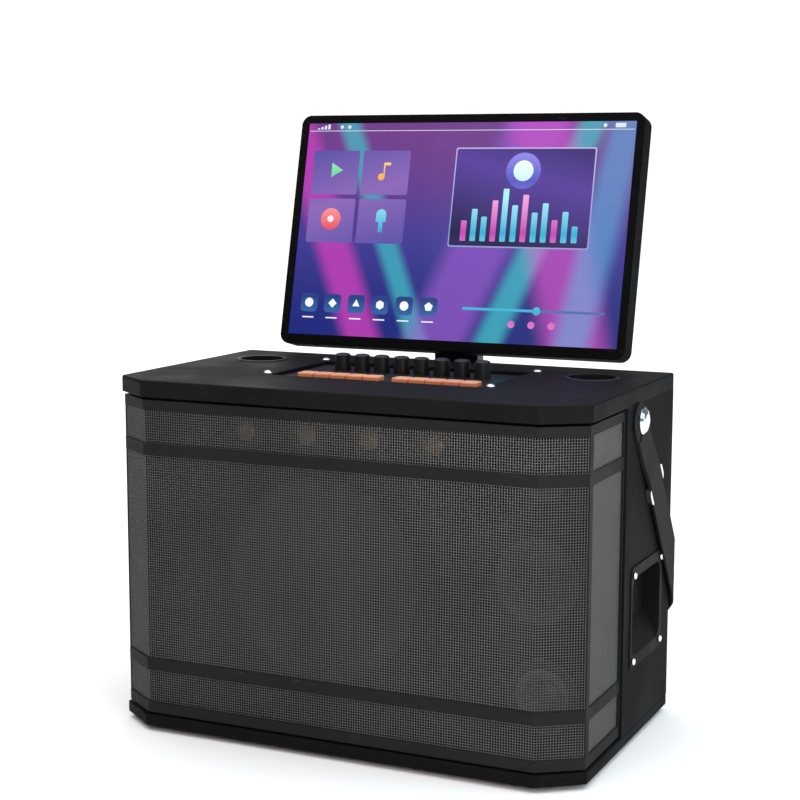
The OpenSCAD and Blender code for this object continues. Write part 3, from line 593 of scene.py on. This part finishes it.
# Painted highlight: a paler copy of the key orange, for the keys' tops where the light falls.
KEY_TOP_PAINTED_HIGHLIGHT = finish("key_top_painted_highlight", (0.93, 0.46, 0.27), 0.34, grain=2000, bump=0.15, cloud=0.05, coat=0.25)
CUP = finish("well_rubber", (0.006, 0.006, 0.006), 0.5, grain=1800, bump=0.4, specular=0.2)
SHELL = finish("display_shell_plastic", (0.004, 0.004, 0.0045), 0.8, grain=1600, bump=0.3, specular=0.05)
BEZEL = finish("bezel_gloss", (0.003, 0.003, 0.0035), 0.6, grain=500, bump=0.02, cloud=0.05, specular=0.04)
BRACKET = finish("bracket_steel", (0.010, 0.010, 0.011), 0.36, grain=2200, bump=0.4, specular=0.25)
PIN = finish("pin_steel", (0.55, 0.55, 0.56), 0.3, metal=1.0)
GRIP = finish("grip_plastic", (0.008, 0.008, 0.008), 0.6, grain=1400, bump=0.4, dust=0.04, specular=0.06)
RUBBER = finish("foot_rubber", (0.012, 0.012, 0.012), 0.8, grain=1200, bump=0.6)
BATTEN = finish("batten_wood", (0.42, 0.27, 0.14), 0.75, grain=300, bump=0.6, cloud=0.3)
CIRCUIT = finish("circuit_board", (0.02, 0.12, 0.05), 0.4)
POT = finish("pot_steel", (0.5, 0.5, 0.5), 0.35, metal=1.0)
BASKET = finish("driver_steel", (0.012, 0.012, 0.0125), 0.5, metal=0.2, grain=1800, specular=0.1)
CONE = finish("cone_paper", (0.008, 0.008, 0.008), 0.75, grain=1600, bump=0.8, specular=0.1)
BRASS = finish("tweeter_dome", (0.13, 0.095, 0.055), 0.45, metal=0.3, grain=1500, specular=0.2)
SILVER = finish("driver_dome", (0.05, 0.05, 0.05), 0.4, metal=0.4, grain=1500, specular=0.2)
REAR = finish("rear_plate_plastic", (0.012, 0.012, 0.012), 0.4, grain=1500, bump=0.3, specular=0.3)
ROCKER = finish("rocker_plastic", (0.010, 0.010, 0.010), 0.25, grain=1500, bump=0.1)
BATTERY = finish("battery_wrap", (0.02, 0.05, 0.22), 0.4)
STRAP = webbing_finish("strap_webbing", (0.006, 0.0065, 0.007))


# Cabinet boards

def chamfered_board(name, low_z, high_z):
    board = block(name, (-HALF_W, -HALF_D, low_z), (HALF_W, HALF_D, high_z))
    for side in (-1, 1):
        slice_off(board, (side * HALF_W, -HALF_D + CHAMFER_Y, 0),
                  Vector((side * CHAMFER_Y, -CHAMFER_X, 0)).normalized())
    return board


def make_top_board():
    board = chamfered_board("top_board_shell", TOP_UNDER, TOP_Z)
    edit(board, lambda e: abs(edge_run(board, e).z) < 0.5
         and board.data.vertices[e.vertices[0]].co.z > (TOP_Z - 1) * MM)
    bpy.ops.mesh.bevel(offset=TOP_EDGE_R * MM, segments=4, profile=0.5)
    done()
    low, high = TOP_UNDER - OVERCUT, TOP_Z + OVERCUT
    well = block("well_tool", (-WELL_X, WELL_Y[0], low), (WELL_X, WELL_Y[1], high))
    cups = [rod("cup_tool", (x, MIC_Y, low), (x, MIC_Y, high), MIC_R, 64) for x in (-MIC_X, MIC_X)]
    cut(board, well, *cups)
    round_edges(board, 0.5, 2, 50)
    smooth(board, 30)
    return wear(board, BOARD, "cabinet", "board_vinyl", "top_board")


def make_base_board():
    board = chamfered_board("base_board_shell", FOOT_H, BASE_TOP)
    round_edges(board, 1.2, 3, 40)
    smooth(board, 30)
    # The base board wears the darker copy of the vinyl as painted shade.
    return wear(board, BOARD_PAINTED_SHADE, "cabinet", "board_vinyl", "base_board")


make_top_board()
make_base_board()
for node, width, material in (
        ("left_side", 0.6, SIDE), ("right_side", 0.6, SIDE), ("back_panel", 0.5, SIDE),
        ("grille_trim", 0.5, RAIL), ("grille_frame", 0.3, FRAME_BLACK)):
    restyle(node, width, material)
paint("front_baffle", BAFFLE)
paint("cabinet_battens", BATTEN)
restyle("rubber_feet", 1.5, RUBBER, 3)


# Grille of crossing wires

def inset_corner(depth):
    """The two plan corners of the right chamfer, moved inwards."""
    kx = depth * (CHAMFER_RUN - CHAMFER_Y) / CHAMFER_X
    ky = depth * (CHAMFER_RUN - CHAMFER_X) / CHAMFER_Y
    return (Vector((HALF_W - CHAMFER_X - kx, -HALF_D + depth)),
            Vector((HALF_W - depth, -HALF_D + CHAMFER_Y + ky)))


def mesh_path():
    near, far = inset_corner(MESH_DEPTH)
    right = [near, far, Vector((far.x, WING_Y - 0.2))]
    left = [Vector((-p.x, p.y)) for p in reversed(right)]
    return left + right


def wire_posts(start, end):
    """Upright wires at the mesh pitch between two plan points."""
    run = end - start
    count = int(run.length / MESH_PITCH)
    step = run.normalized() * (run.length / count)
    first = rod("upright_wires", (*start, MESH_Z[0]), (*start, MESH_Z[1]), WIRE_R, 6)
    return repeat(first, count, (step.x * MM, step.y * MM, 0))


def wire_hoops(points):
    """Level wires that follow the whole wrapped path, stacked at the mesh pitch."""
    curve = bpy.data.curves.new("level_wires", "CURVE")
    curve.dimensions = "3D"
    curve.bevel_depth = WIRE_R * MM
    curve.bevel_resolution = 0
    spline = curve.splines.new("POLY")
    spline.points.add(len(points) - 1)
    for point, place in zip(spline.points, points):
        point.co = (place.x * MM, place.y * MM, (MESH_Z[0] + MESH_PITCH / 2) * MM, 1)
    activate(new_object("level_wires", curve))
    bpy.ops.object.convert(target="MESH")
    count = int((MESH_Z[1] - MESH_Z[0]) / MESH_PITCH)
    return repeat(bpy.context.active_object, count, (0, 0, MESH_PITCH * MM))


def make_grille():
    path = mesh_path()
    wires = [wire_posts(a, b) for a, b in zip(path, path[1:])]
    net = join("grille_wires", wires + [wire_hoops(path)])
    return wear(net, WIRE, "cabinet", "mesh_metal", "grille_mesh")


make_grille()


# Loudspeakers behind the grille

for node, material in (
        ("woofer_frame", BASKET), ("mid_frame", BASKET), ("low_frame", BASKET), ("small_driver", BASKET),
        ("woofer_cone", CONE), ("mid_cone", CONE), ("low_cone", SILVER), ("tweeters", BASKET)):
    piece = restyle(node, 0.4, material, 2, 25)
    if node == "tweeters":
        accent(piece, BRASS, lambda middle: middle.y < TWEETER_DOME_Y)


# Control field

def make_knobs():
    """Fluted knobs with a domed top, one modelled and the others copied."""
    knob = rod("knob_model", (0, KNOB_Y, KNOB_FOOT), (0, KNOB_Y, KNOB_TOP - KNOB_CROWN_H),
               KNOB_R, KNOB_SIDES, KNOB_TAPER)
    edit(knob, lambda f: abs(f.normal.z) < 0.5 and f.index % 2 == 0, "FACE")
    bpy.ops.mesh.inset(thickness=FLUTE_INSET * MM, depth=-FLUTE_DEPTH * MM, use_individual=True)
    done()
    edit(knob, lambda f: f.normal.z > 0.9, "FACE")
    for grow, lift in KNOB_CROWN:
        bpy.ops.mesh.extrude_region_move(TRANSFORM_OT_translate={"value": (0, 0, lift * MM)})
        scale = 1 + grow / KNOB_R
        bpy.ops.transform.resize(value=(scale, scale, 1), center_override=(0, KNOB_Y * MM, 0))
    done()
    smooth(knob, 40)
    for i in range(KNOB_COUNT):
        copy = copy_of(knob)
        copy.name = f"knob_cap_{i + 1}"
        move(copy, (i - (KNOB_COUNT - 1) / 2) * KNOB_PITCH, 0, 0)
        wear(copy, KNOB, f"knob_body_{i + 1}", "knob_plastic", f"knob_{i + 1}")
    bpy.data.objects.remove(knob)


def make_keys():
    """Orange keys with a painted highlight: a paler copy of the orange on their tops."""
    for i in range(KEY_COUNT):
        key = restyle(f"key_{i + 1}", 0.6, KEY, 3)
        # The tops get the paler copy of the orange as a painted highlight.
        accent(key, KEY_TOP_PAINTED_HIGHLIGHT, lambda middle: middle.z > KEY_FACE_Z)


make_knobs()
make_keys()
restyle("control_panel", 0.2, WELL_FLOOR)
restyle("control_screws", 0.4, SCREW, 2, 25)
restyle("mic_well_left", 0.5, CUP, 3)
restyle("mic_well_right", 0.5, CUP, 3)
for node, material in (("mixer_board", CIRCUIT), ("potentiometers", POT), ("amplifier_board", CIRCUIT),
                       ("display_board", CIRCUIT), ("battery_pack", BATTERY)):
    paint(node, material)


# Display

DISPLAY_PLACE = Matrix.Translation(DISPLAY_AT * MM) @ Matrix.Rotation(DISPLAY_LEAN, 4, "X")


def screen_place(n):
    """Coordinates on the screen in metres: x to the right and z up from the display's middle."""
    place = n.add("ShaderNodeTexCoord").outputs["Object"]
    mapping = n.add("ShaderNodeMapping", vector_type="TEXTURE")
    mapping.inputs["Location"].default_value = DISPLAY_AT * MM
    mapping.inputs["Rotation"].default_value = (DISPLAY_LEAN, 0, 0)
    n.link(place, mapping.inputs["Vector"])
    split = n.add("ShaderNodeSeparateXYZ")
    n.link(mapping.outputs[0], split.inputs[0])
    return split.outputs["X"], split.outputs["Z"]


def lit(name, strength):
    """A dark glass-fronted material that glows, with its node helper and its shader."""
    material, n, shader = new_material(name)
    shader.inputs["Base Color"].default_value = (0.004, 0.004, 0.006, 1)
    shader.inputs["Roughness"].default_value = 0.16
    shader.inputs["Coat Weight"].default_value = 0.03
    shader.inputs["Coat Roughness"].default_value = 0.03
    shader.inputs["Specular IOR Level"].default_value = 0.1
    shader.inputs["Emission Strength"].default_value = strength
    return material, n, shader


def beam(n, x, z, angle, offset, width, soft):
    """Mask of a straight ray across the screen: 1 on the ray and 0 past its soft edge."""
    a = math.radians(angle)
    across = n.math("ADD", n.math("MULTIPLY", x, math.cos(a)), n.math("MULTIPLY", z, math.sin(a)))
    away = n.math("ABSOLUTE", n.math("SUBTRACT", across, offset))
    return n.spread(away, width, width + soft, 1.0, 0.0)


# Rays behind the tiles: angle in degrees, offset, half width and soft edge in metres, colour and strength
BEAMS = (
    (24, -0.150, 0.010, 0.022, (0.55, 0.05, 0.50), 0.75),
    (24, -0.085, 0.004, 0.016, (0.05, 0.45, 0.55), 0.70),
    (-22, 0.035, 0.020, 0.030, (0.30, 0.10, 0.62), 0.60),
    (-22, 0.095, 0.006, 0.018, (0.05, 0.50, 0.60), 0.65),
    (14, 0.120, 0.018, 0.034, (0.60, 0.08, 0.58), 0.60),
    (-10, 0.170, 0.008, 0.024, (0.12, 0.35, 0.70), 0.60),
)


def screen_finish():
    material, n, shader = lit("screen_picture", 1.0)
    x, z = screen_place(n)
    ramp = n.add("ShaderNodeValToRGB")
    n.link(n.spread(z, -0.13, 0.13), ramp.inputs[0])
    stops = ramp.color_ramp.elements
    stops[0].position = 0.0
    stops[0].color = (0.012, 0.022, 0.20, 1)
    stops[1].position = 1.0
    stops[1].color = (0.17, 0.05, 0.26, 1)
    middle = stops.new(0.45)
    middle.color = (0.055, 0.045, 0.30, 1)
    color = ramp.outputs[0]
    for angle, offset, width, soft, hue, amount in BEAMS:
        mask = n.math("MULTIPLY", beam(n, x, z, angle, offset, width, soft), amount)
        color = n.mix(mask, color, (*hue, 1))
    n.link(color, shader.inputs["Emission Color"])
    return material


def glow(name, low, high, strength=1.0, height=0.06, turn=0.0):
    """A glow that fades between two colours and back over each height in metres, slanted by the turn."""
    material, n, shader = lit(name, strength)
    x, z = screen_place(n)
    slope = n.math("ADD", z, n.math("MULTIPLY", x, turn))
    ridge = n.ridge(n.math("FRACT", n.math("DIVIDE", slope, height)))
    n.link(n.mix(ridge, (*low, 1), (*high, 1)), shader.inputs["Emission Color"])
    return material


def plate(name, x, z, width, height, radius, layer):
    """A thin plate with round corners, its middle at x and z from the screen's middle."""
    deselect()
    bpy.ops.mesh.primitive_cube_add(size=1, location=(0, 0, 0))
    obj = bpy.context.active_object
    obj.scale = Vector((width, MOTIF_T, height)) * MM
    settle(obj, name)
    if radius > 0:
        edit(obj, lambda e: abs(edge_run(obj, e).y) > 0.9)
        bpy.ops.mesh.bevel(offset=radius * MM, segments=4)
        done()
    move(obj, x, layer + MOTIF_T / 2, z)
    return obj


def disc(name, x, z, radius, layer, sides=24):
    """A thin disc, or with few sides a regular polygon, placed as a plate is."""
    deselect()
    bpy.ops.mesh.primitive_cylinder_add(vertices=sides, radius=radius * MM, depth=MOTIF_T * MM,
                                        rotation=(math.pi / 2, 0, 0))
    obj = settle(bpy.context.active_object, name)
    move(obj, x, layer + MOTIF_T / 2, z)
    return obj


def on_display(name, pieces, material):
    obj = join(name, pieces)
    obj.data.transform(DISPLAY_PLACE)
    return wear(obj, material, "display", "screen_glass")


paint("display_panel", screen_finish())
ICON_WHITE = glow("icon_white", (0.75, 0.80, 0.95), (0.95, 0.97, 1.0))
BARS_CYAN = glow("bars_cyan", (0.03, 0.40, 0.62), (0.40, 0.85, 0.95), 1.1, 0.09)
BARS_PINK = glow("bars_pink", (0.55, 0.06, 0.45), (0.95, 0.42, 0.80), 1.0, 0.09)


def make_status_strip():
    """Thin line across the top with signal steps, dots and a cell."""
    line_z, foot_z, mark_z = 119.5, 121.4, 124.2
    step_pitch, step_h = 4.6, 1.5
    strip = [plate("strip", 0, line_z, SCREEN_W - 3, 0.7, 0, LOW_LAYER)]
    for i in range(4):
        height = (i + 1) * step_h
        strip.append(plate("step", -191 + i * step_pitch, foot_z + height / 2, 3, height, 0, LOW_LAYER))
    for x in (-160, -150, 168):
        strip.append(disc("dot", x, mark_z, 2.2, LOW_LAYER))
    strip.append(plate("cell", 186, mark_z, 12, 5, 1, LOW_LAYER))
    on_display("status_strip", strip, ICON_WHITE)


def make_picture_tile():
    """Large tile on the right: level bars under a round light."""
    x, z, width, tall, rim = 76, 41, 170, 116, 1.5
    on_display("picture_rim", [plate("rim", x, z, width, tall, 2.5, LOW_LAYER)],
               glow("tile_rim", (0.30, 0.38, 0.70), (0.65, 0.55, 0.90), 0.9, 0.2))
    ground = plate("ground", x, z, width - 2 * rim, tall - 2 * rim, 2, MIDDLE_LAYER)
    on_display("picture_ground", [ground],
               glow("picture_ground", (0.010, 0.012, 0.06), (0.10, 0.05, 0.34), 1.0, 0.17, 0.25))
    levels = (0.35, 0.55, 0.42, 0.7, 0.9, 0.62, 0.8, 0.5, 0.66, 0.38, 0.52, 0.28)
    first_x, pitch, foot_z, full = 9, 12.2, -10, 68
    cyan_bars = []
    pink_bars = []
    for i, level in enumerate(levels):
        height = level * full
        bar = plate("bar", first_x + i * pitch, foot_z + height / 2, 7, height, 1.2, HIGH_LAYER)
        if i % 3:
            cyan_bars.append(bar)
        else:
            pink_bars.append(bar)
    on_display("level_bars_cyan", cyan_bars, BARS_CYAN)
    on_display("level_bars_pink", pink_bars, BARS_PINK)
    outer = disc("ring", x, 72, 21, HIGH_LAYER, 40)
    inner = disc("ring", x, 72, 12, HIGH_LAYER - 0.15, 32)
    on_display("stage_light_outer", [outer], glow("light_outer", (0.10, 0.10, 0.55), (0.30, 0.25, 0.85)))
    on_display("stage_light_inner", [inner],
               glow("light_inner", (0.50, 0.75, 0.95), (0.85, 0.95, 1.0), 1.2))


def make_small_tiles():
    """Four small tiles on the left, each with a plain symbol."""
    left, right, upper, lower = -163, -97, 69, 11
    tiles = []
    for x in (left, right):
        for z in (upper, lower):
            tiles.append(plate("tile", x, z, 61, 53, 2.5, LOW_LAYER))
    on_display("small_tiles", tiles,
               glow("tile_ground", (0.10, 0.09, 0.42), (0.30, 0.16, 0.55), 0.9, 0.16, -0.3))
    play = disc("play", 0, 0, 10, -MOTIF_T / 2, 3)
    play.data.transform(Matrix.Rotation(math.radians(90), 4, "Y"))
    move(play, left, MIDDLE_LAYER + MOTIF_T / 2, upper + 3)
    note = [disc("note", right - 5, upper - 5, 4.2, MIDDLE_LAYER),
            plate("stem", right - 1.6, upper + 3, 1.8, 18, 0, MIDDLE_LAYER),
            plate("flag", right + 2.4, upper + 10.5, 8, 3.4, 1, MIDDLE_LAYER)]
    record = [disc("record", left, lower + 2, 13, MIDDLE_LAYER, 32)]
    capsule = [disc("capsule", right, lower + 8, 6.5, MIDDLE_LAYER),
               plate("capsule", right, lower + 4, 13, 9, 0, MIDDLE_LAYER),
               plate("handle", right, lower - 6, 5.4, 14, 1.5, MIDDLE_LAYER)]
    on_display("symbol_play", [play], glow("symbol_green", (0.10, 0.62, 0.30), (0.45, 0.95, 0.55)))
    on_display("symbol_note", note, glow("symbol_amber", (0.95, 0.45, 0.06), (1.0, 0.72, 0.25)))
    on_display("symbol_disc", record, glow("symbol_red", (0.85, 0.08, 0.12), (1.0, 0.35, 0.35)))
    on_display("symbol_disc_hub", [disc("hub", left, lower + 2, 4, HIGH_LAYER)], ICON_WHITE)
    on_display("symbol_capsule", capsule, BARS_CYAN)


def make_dock():
    """Bottom row of round-cornered icons, each with a plain shape and a line under it."""
    z, line_z, first_x, pitch = -88, -105.5, -180, 31
    icons = []
    marks = []
    for i, sides in enumerate((24, 4, 3, 6, 24, 5)):
        x = first_x + i * pitch
        icons.append(plate("icon", x, z, 22, 22, 5, LOW_LAYER))
        marks.append(disc("mark", x, z, 5.5, MIDDLE_LAYER, sides))
        marks.append(plate("caption", x, line_z, 15, 1.6, 0.6, LOW_LAYER))
    on_display("dock_icons", icons, glow("dock_icon", (0.02, 0.05, 0.22), (0.06, 0.22, 0.55), 1.0, 0.08))
    on_display("dock_marks", marks, ICON_WHITE)


def make_position_bar():
    """Long bar with a grab on it, and three round buttons below."""
    z, height, radius, grab_x = -88, 3, 1.4, 107
    track = plate("track", 102, z, 170, height, radius, LOW_LAYER)
    on_display("position_track", [track], glow("track", (0.05, 0.08, 0.30), (0.10, 0.16, 0.45)))
    played = plate("done", grab_x - 45, z, 90, height, radius, MIDDLE_LAYER)
    on_display("position_done", [played, disc("grab", grab_x, z, 4.6, MIDDLE_LAYER)], BARS_CYAN)
    buttons = [disc("button", x, -104, 4.2, LOW_LAYER, 20) for x in (78, 102, 126)]
    on_display("player_buttons", buttons, BARS_PINK)


make_status_strip()
make_picture_tile()
make_small_tiles()
make_dock()
make_position_bar()
restyle("display_bezel", 0.8, BEZEL, 3)
restyle("display_shell", 0.8, SHELL, 3, 20)
restyle("display_bracket", 0.4, BRACKET)
restyle("neck_bracket", 0.4, BRACKET)
restyle("hinge_pin", 0.4, PIN)


# Strap

def ease(value, start, end):
    """Rises gently from 0 at the start to 1 at the end."""
    part = min(1, max(0, (value - start) / (end - start)))
    return part * part * (3 - 2 * part)


def strap_drawing(along, across):
    """Place in the strap's flat drawing: distance behind the stud and height.

    The band runs down at its lean, turns through an arc and ends level. Along is measured from the stud
    and across from the middle of the full width."""
    s, c = math.sin(STRAP_LEAN), math.cos(STRAP_LEAN)
    start_h = STRAP_SHIFT * c
    start_z = STUD_Z + STRAP_SHIFT * s
    turn = math.pi / 2 - STRAP_LEAN
    straight = (start_z - STRAP_LOW_Z - STRAP_TURN_R * (1 - math.cos(turn))) / c
    if along < straight:
        h, z, tangent = start_h + along * s, start_z - along * c, STRAP_LEAN
    elif along < straight + STRAP_TURN_R * turn:
        left = turn - (along - straight) / STRAP_TURN_R
        h = start_h + straight * s + STRAP_TURN_R * (math.sin(turn) - math.sin(left))
        z = STRAP_LOW_Z + STRAP_TURN_R * (1 - math.cos(left))
        tangent = math.pi / 2 - left
    else:
        over = along - straight - STRAP_TURN_R * turn
        h = start_h + straight * s + STRAP_TURN_R * math.sin(turn) + over
        z, tangent = STRAP_LOW_Z, math.pi / 2
    return h + across * math.cos(tangent), z + across * math.sin(tangent)


def strap_point(along, across, lift=0.0):
    """Point of the strap's middle layer: the flat drawing, bent round the cabinet's rear edge."""
    h, z = strap_drawing(along, across)
    rise = ease(along, *STRAP_RISE)
    side_x = STRAP_NEAR_X + (STRAP_FAR_X - STRAP_NEAR_X) * rise + STRAP_T / 2
    corner = STRAP_BACK_H + STRAP_SAG
    arc = STRAP_BEND_R * math.pi / 2
    if h < corner:
        return Vector((side_x + lift, STUD_Y + h, z))
    if h < corner + arc:
        a = (h - corner) / STRAP_BEND_R
        return Vector((side_x - STRAP_BEND_R * (1 - math.cos(a)),
                       STUD_Y + corner + STRAP_BEND_R * math.sin(a), z))
    return Vector((side_x - STRAP_BEND_R - (h - corner - arc), STUD_Y + corner + STRAP_BEND_R, z))


def strap_length():
    """Distance along the band from the stud to the middle of the loop behind the cabinet."""
    low, high = 0.0, STRAP_REACH
    for _ in range(40):
        middle = (low + high) / 2
        if strap_point(middle, 0).x > 0:
            low = middle
        else:
            high = middle
    return low


def strap_edges(along):
    """Front and rear edge of the band: a round folded end, a narrow part and the full width."""
    if along < 0:
        half = math.sqrt(max(0.0, STRAP_END_R ** 2 - along * along))
        return -half - STRAP_SHIFT, half - STRAP_SHIFT
    rear = STRAP_END_R - STRAP_SHIFT
    return -STRAP_W / 2, rear + (STRAP_W / 2 - rear) * ease(along, *STRAP_WIDEN)


def strap_strip(name, start, end, steps, rows, lift=0.0, inset=0.0):
    """A strip of webbing between two distances from the stud, drawn on a grid with a UV map in metres."""
    deselect()
    bpy.ops.mesh.primitive_grid_add(x_subdivisions=steps, y_subdivisions=rows, size=1, calc_uvs=True)
    obj = bpy.context.active_object
    obj.name = name
    flat = {}
    for vertex in obj.data.vertices:
        along = start + (vertex.co.x + 0.5) * (end - start)
        front, rear = strap_edges(along)
        across = front + inset + (vertex.co.y + 0.5) * (rear - front - 2 * inset)
        flat[vertex.index] = (along, across)
    uv = obj.data.uv_layers.active
    for i, loop in enumerate(obj.data.loops):
        along, across = flat[loop.vertex_index]
        uv.data[i].uv = (along * MM, across * MM)
    for vertex in obj.data.vertices:
        vertex.co = strap_point(*flat[vertex.index], lift) * MM
    return obj


def thicken(obj, thickness):
    """Turns a sheet into webbing, half its thickness to each side."""
    edit(obj)
    bpy.ops.mesh.remove_doubles(threshold=WEBBING_WELD)
    bpy.ops.mesh.normals_make_consistent(inside=False)
    done()
    solid = obj.modifiers.new("thickness", "SOLIDIFY")
    solid.thickness = thickness * MM
    solid.offset = 0
    solid.use_even_offset = True
    apply_all(obj)
    return obj


def make_strap_band():
    """The whole loop, made as a half and its mirror image, with a hole for each stud."""
    half = strap_strip("strap_half", -STRAP_END_R + 0.6, strap_length(), 150, 12)
    for vertex in half.data.vertices:
        if abs(vertex.co.x) < WEBBING_WELD:
            vertex.co.x = 0
    band = thicken(join("strap_band", [half, mirrored(half)]), STRAP_T)
    for side in (-1, 1):
        cut(band, rod("stud_hole", (side * (HALF_W - 10), STUD_Y, STUD_Z),
                      (side * (HALF_W + 15), STUD_Y, STUD_Z), STUD_HOLE_R, 24))
    round_edges(band, 0.5, 2, 60)
    return band


def make_strap_tail():
    """Folded end of one arm, sewn down on top of the narrow part."""
    tail = thicken(strap_strip("strap_tail", *TAIL_RUN, 30, 8, TAIL_LIFT, TAIL_INSET), TAIL_T)
    round_edges(tail, 0.4, 2, 60)
    return tail


def make_strap():
    band = make_strap_band()
    tail = make_strap_tail()
    strap = join("strap_band", [band, tail, mirrored(tail)])
    smooth(strap, 40)
    return wear(strap, STRAP, "strap", "webbing", "carry_strap")


make_strap()
restyle("strap_studs", 1.0, CHROME, 4, 25)
restyle("strap_adjusters", 0.5, CHROME, 2)


# Side grips and rear

def make_grip_screws():
    """Round-headed screws at the corners of both grips."""
    foot_x = HALF_W + GRIP_FLANGE_T
    heads = []
    for side in (-1, 1):
        for y in (GRIP_Y - GRIP_SCREW_Y, GRIP_Y + GRIP_SCREW_Y):
            for z in (GRIP_Z - GRIP_SCREW_Z, GRIP_Z + GRIP_SCREW_Z):
                head = rod("grip_screw_head", (side * foot_x, y, z),
                           (side * (foot_x + SCREW_HEAD_H), y, z), SCREW_HEAD_R, 32)
                heads.append(round_edges(head, SCREW_DOME, 5, 40))
    screws = smooth(join("grip_screw_heads", heads), 40)
    return wear(screws, CHROME, "cabinet", "chrome", "grip_screws")


restyle("grip_left", 0.7, GRIP, 3, 30)
restyle("grip_right", 0.7, GRIP, 3, 30)
make_grip_screws()
restyle("rear_plate", 0.4, REAR)
restyle("power_switch", 0.8, ROCKER, 3)


# Studio

def backdrop_finish():
    material, _, shader = new_material("backdrop_white")
    shader.inputs["Base Color"].default_value = (0, 0, 0, 1)
    shader.inputs["Emission Color"].default_value = (*WHITE, 1)
    shader.inputs["Emission Strength"].default_value = BACKDROP_GLOW
    return material


def floor_finish():
    material, _, shader = new_material("studio_floor")
    shader.inputs["Base Color"].default_value = (0.96, 0.96, 0.96, 1)
    shader.inputs["Roughness"].default_value = 0.9
    return material


def make_floor():
    deselect()
    bpy.ops.mesh.primitive_plane_add(size=FLOOR_W, location=(0, 0, 0))
    floor = settle(bpy.context.active_object, "floor")
    floor.data.materials.append(floor_finish())


def make_backdrop():
    """A low white card that ends just above the picture, so that reflections stay dark."""
    deselect()
    bpy.ops.mesh.primitive_plane_add(size=1, rotation=(math.pi / 2, 0, CAMERA_AZ),
                                     location=(BACKDROP_AT.x, BACKDROP_AT.y, BACKDROP_H / 2))
    card = bpy.context.active_object
    card.scale = (BACKDROP_W, BACKDROP_H, 1)
    settle(card, "backdrop")
    card.data.materials.append(backdrop_finish())


def make_world():
    world = bpy.data.worlds.new("studio")
    bpy.context.scene.world = world
    world.use_nodes = True
    background = world.node_tree.nodes["Background"]
    background.inputs["Color"].default_value = (*WHITE, 1)
    background.inputs["Strength"].default_value = WORLD_LIGHT


def overhead_light():
    """A wide, even light from straight above."""
    data = bpy.data.lights.new("overhead", "SUN")
    data.energy = OVERHEAD_POWER
    data.angle = OVERHEAD_SPREAD
    new_object("overhead", data).location = (0, 0, 4)


def soft_light(name, place, aim, size, power, color):
    data = bpy.data.lights.new(name, "AREA")
    data.shape = "RECTANGLE"
    data.size, data.size_y = size
    data.energy = power
    data.color = color
    obj = new_object(name, data)
    obj.location = place
    obj.rotation_mode = "QUATERNION"
    obj.rotation_quaternion = (Vector(aim) - Vector(place)).to_track_quat("-Z", "Y")


def make_camera():
    """The camera that took the photograph, as fitted to the cabinet's corners."""
    data = bpy.data.cameras.new("camera")
    data.lens = CAMERA_LENS
    data.sensor_width = CAMERA_FILM_W
    data.clip_start = 0.05
    data.clip_end = 100
    obj = new_object("camera", data)
    az, down, roll = CAMERA_AZ, CAMERA_DOWN, CAMERA_ROLL
    forward = Vector((-math.sin(az) * math.cos(down), math.cos(az) * math.cos(down), -math.sin(down)))
    level = Vector((math.cos(az), math.sin(az), 0))
    up = level.cross(forward)
    right = math.cos(roll) * level + math.sin(roll) * up
    top = -math.sin(roll) * level + math.cos(roll) * up
    turn = Matrix((right, top, -forward)).transposed()
    obj.matrix_world = Matrix.Translation(CAMERA_AT * MM) @ turn.to_4x4()
    bpy.context.scene.camera = obj


make_floor()
make_backdrop()
make_world()
make_camera()
overhead_light()
for light in SOFT_LIGHTS:
    soft_light(*light)
bpy.context.scene.view_settings.view_transform = "Standard"
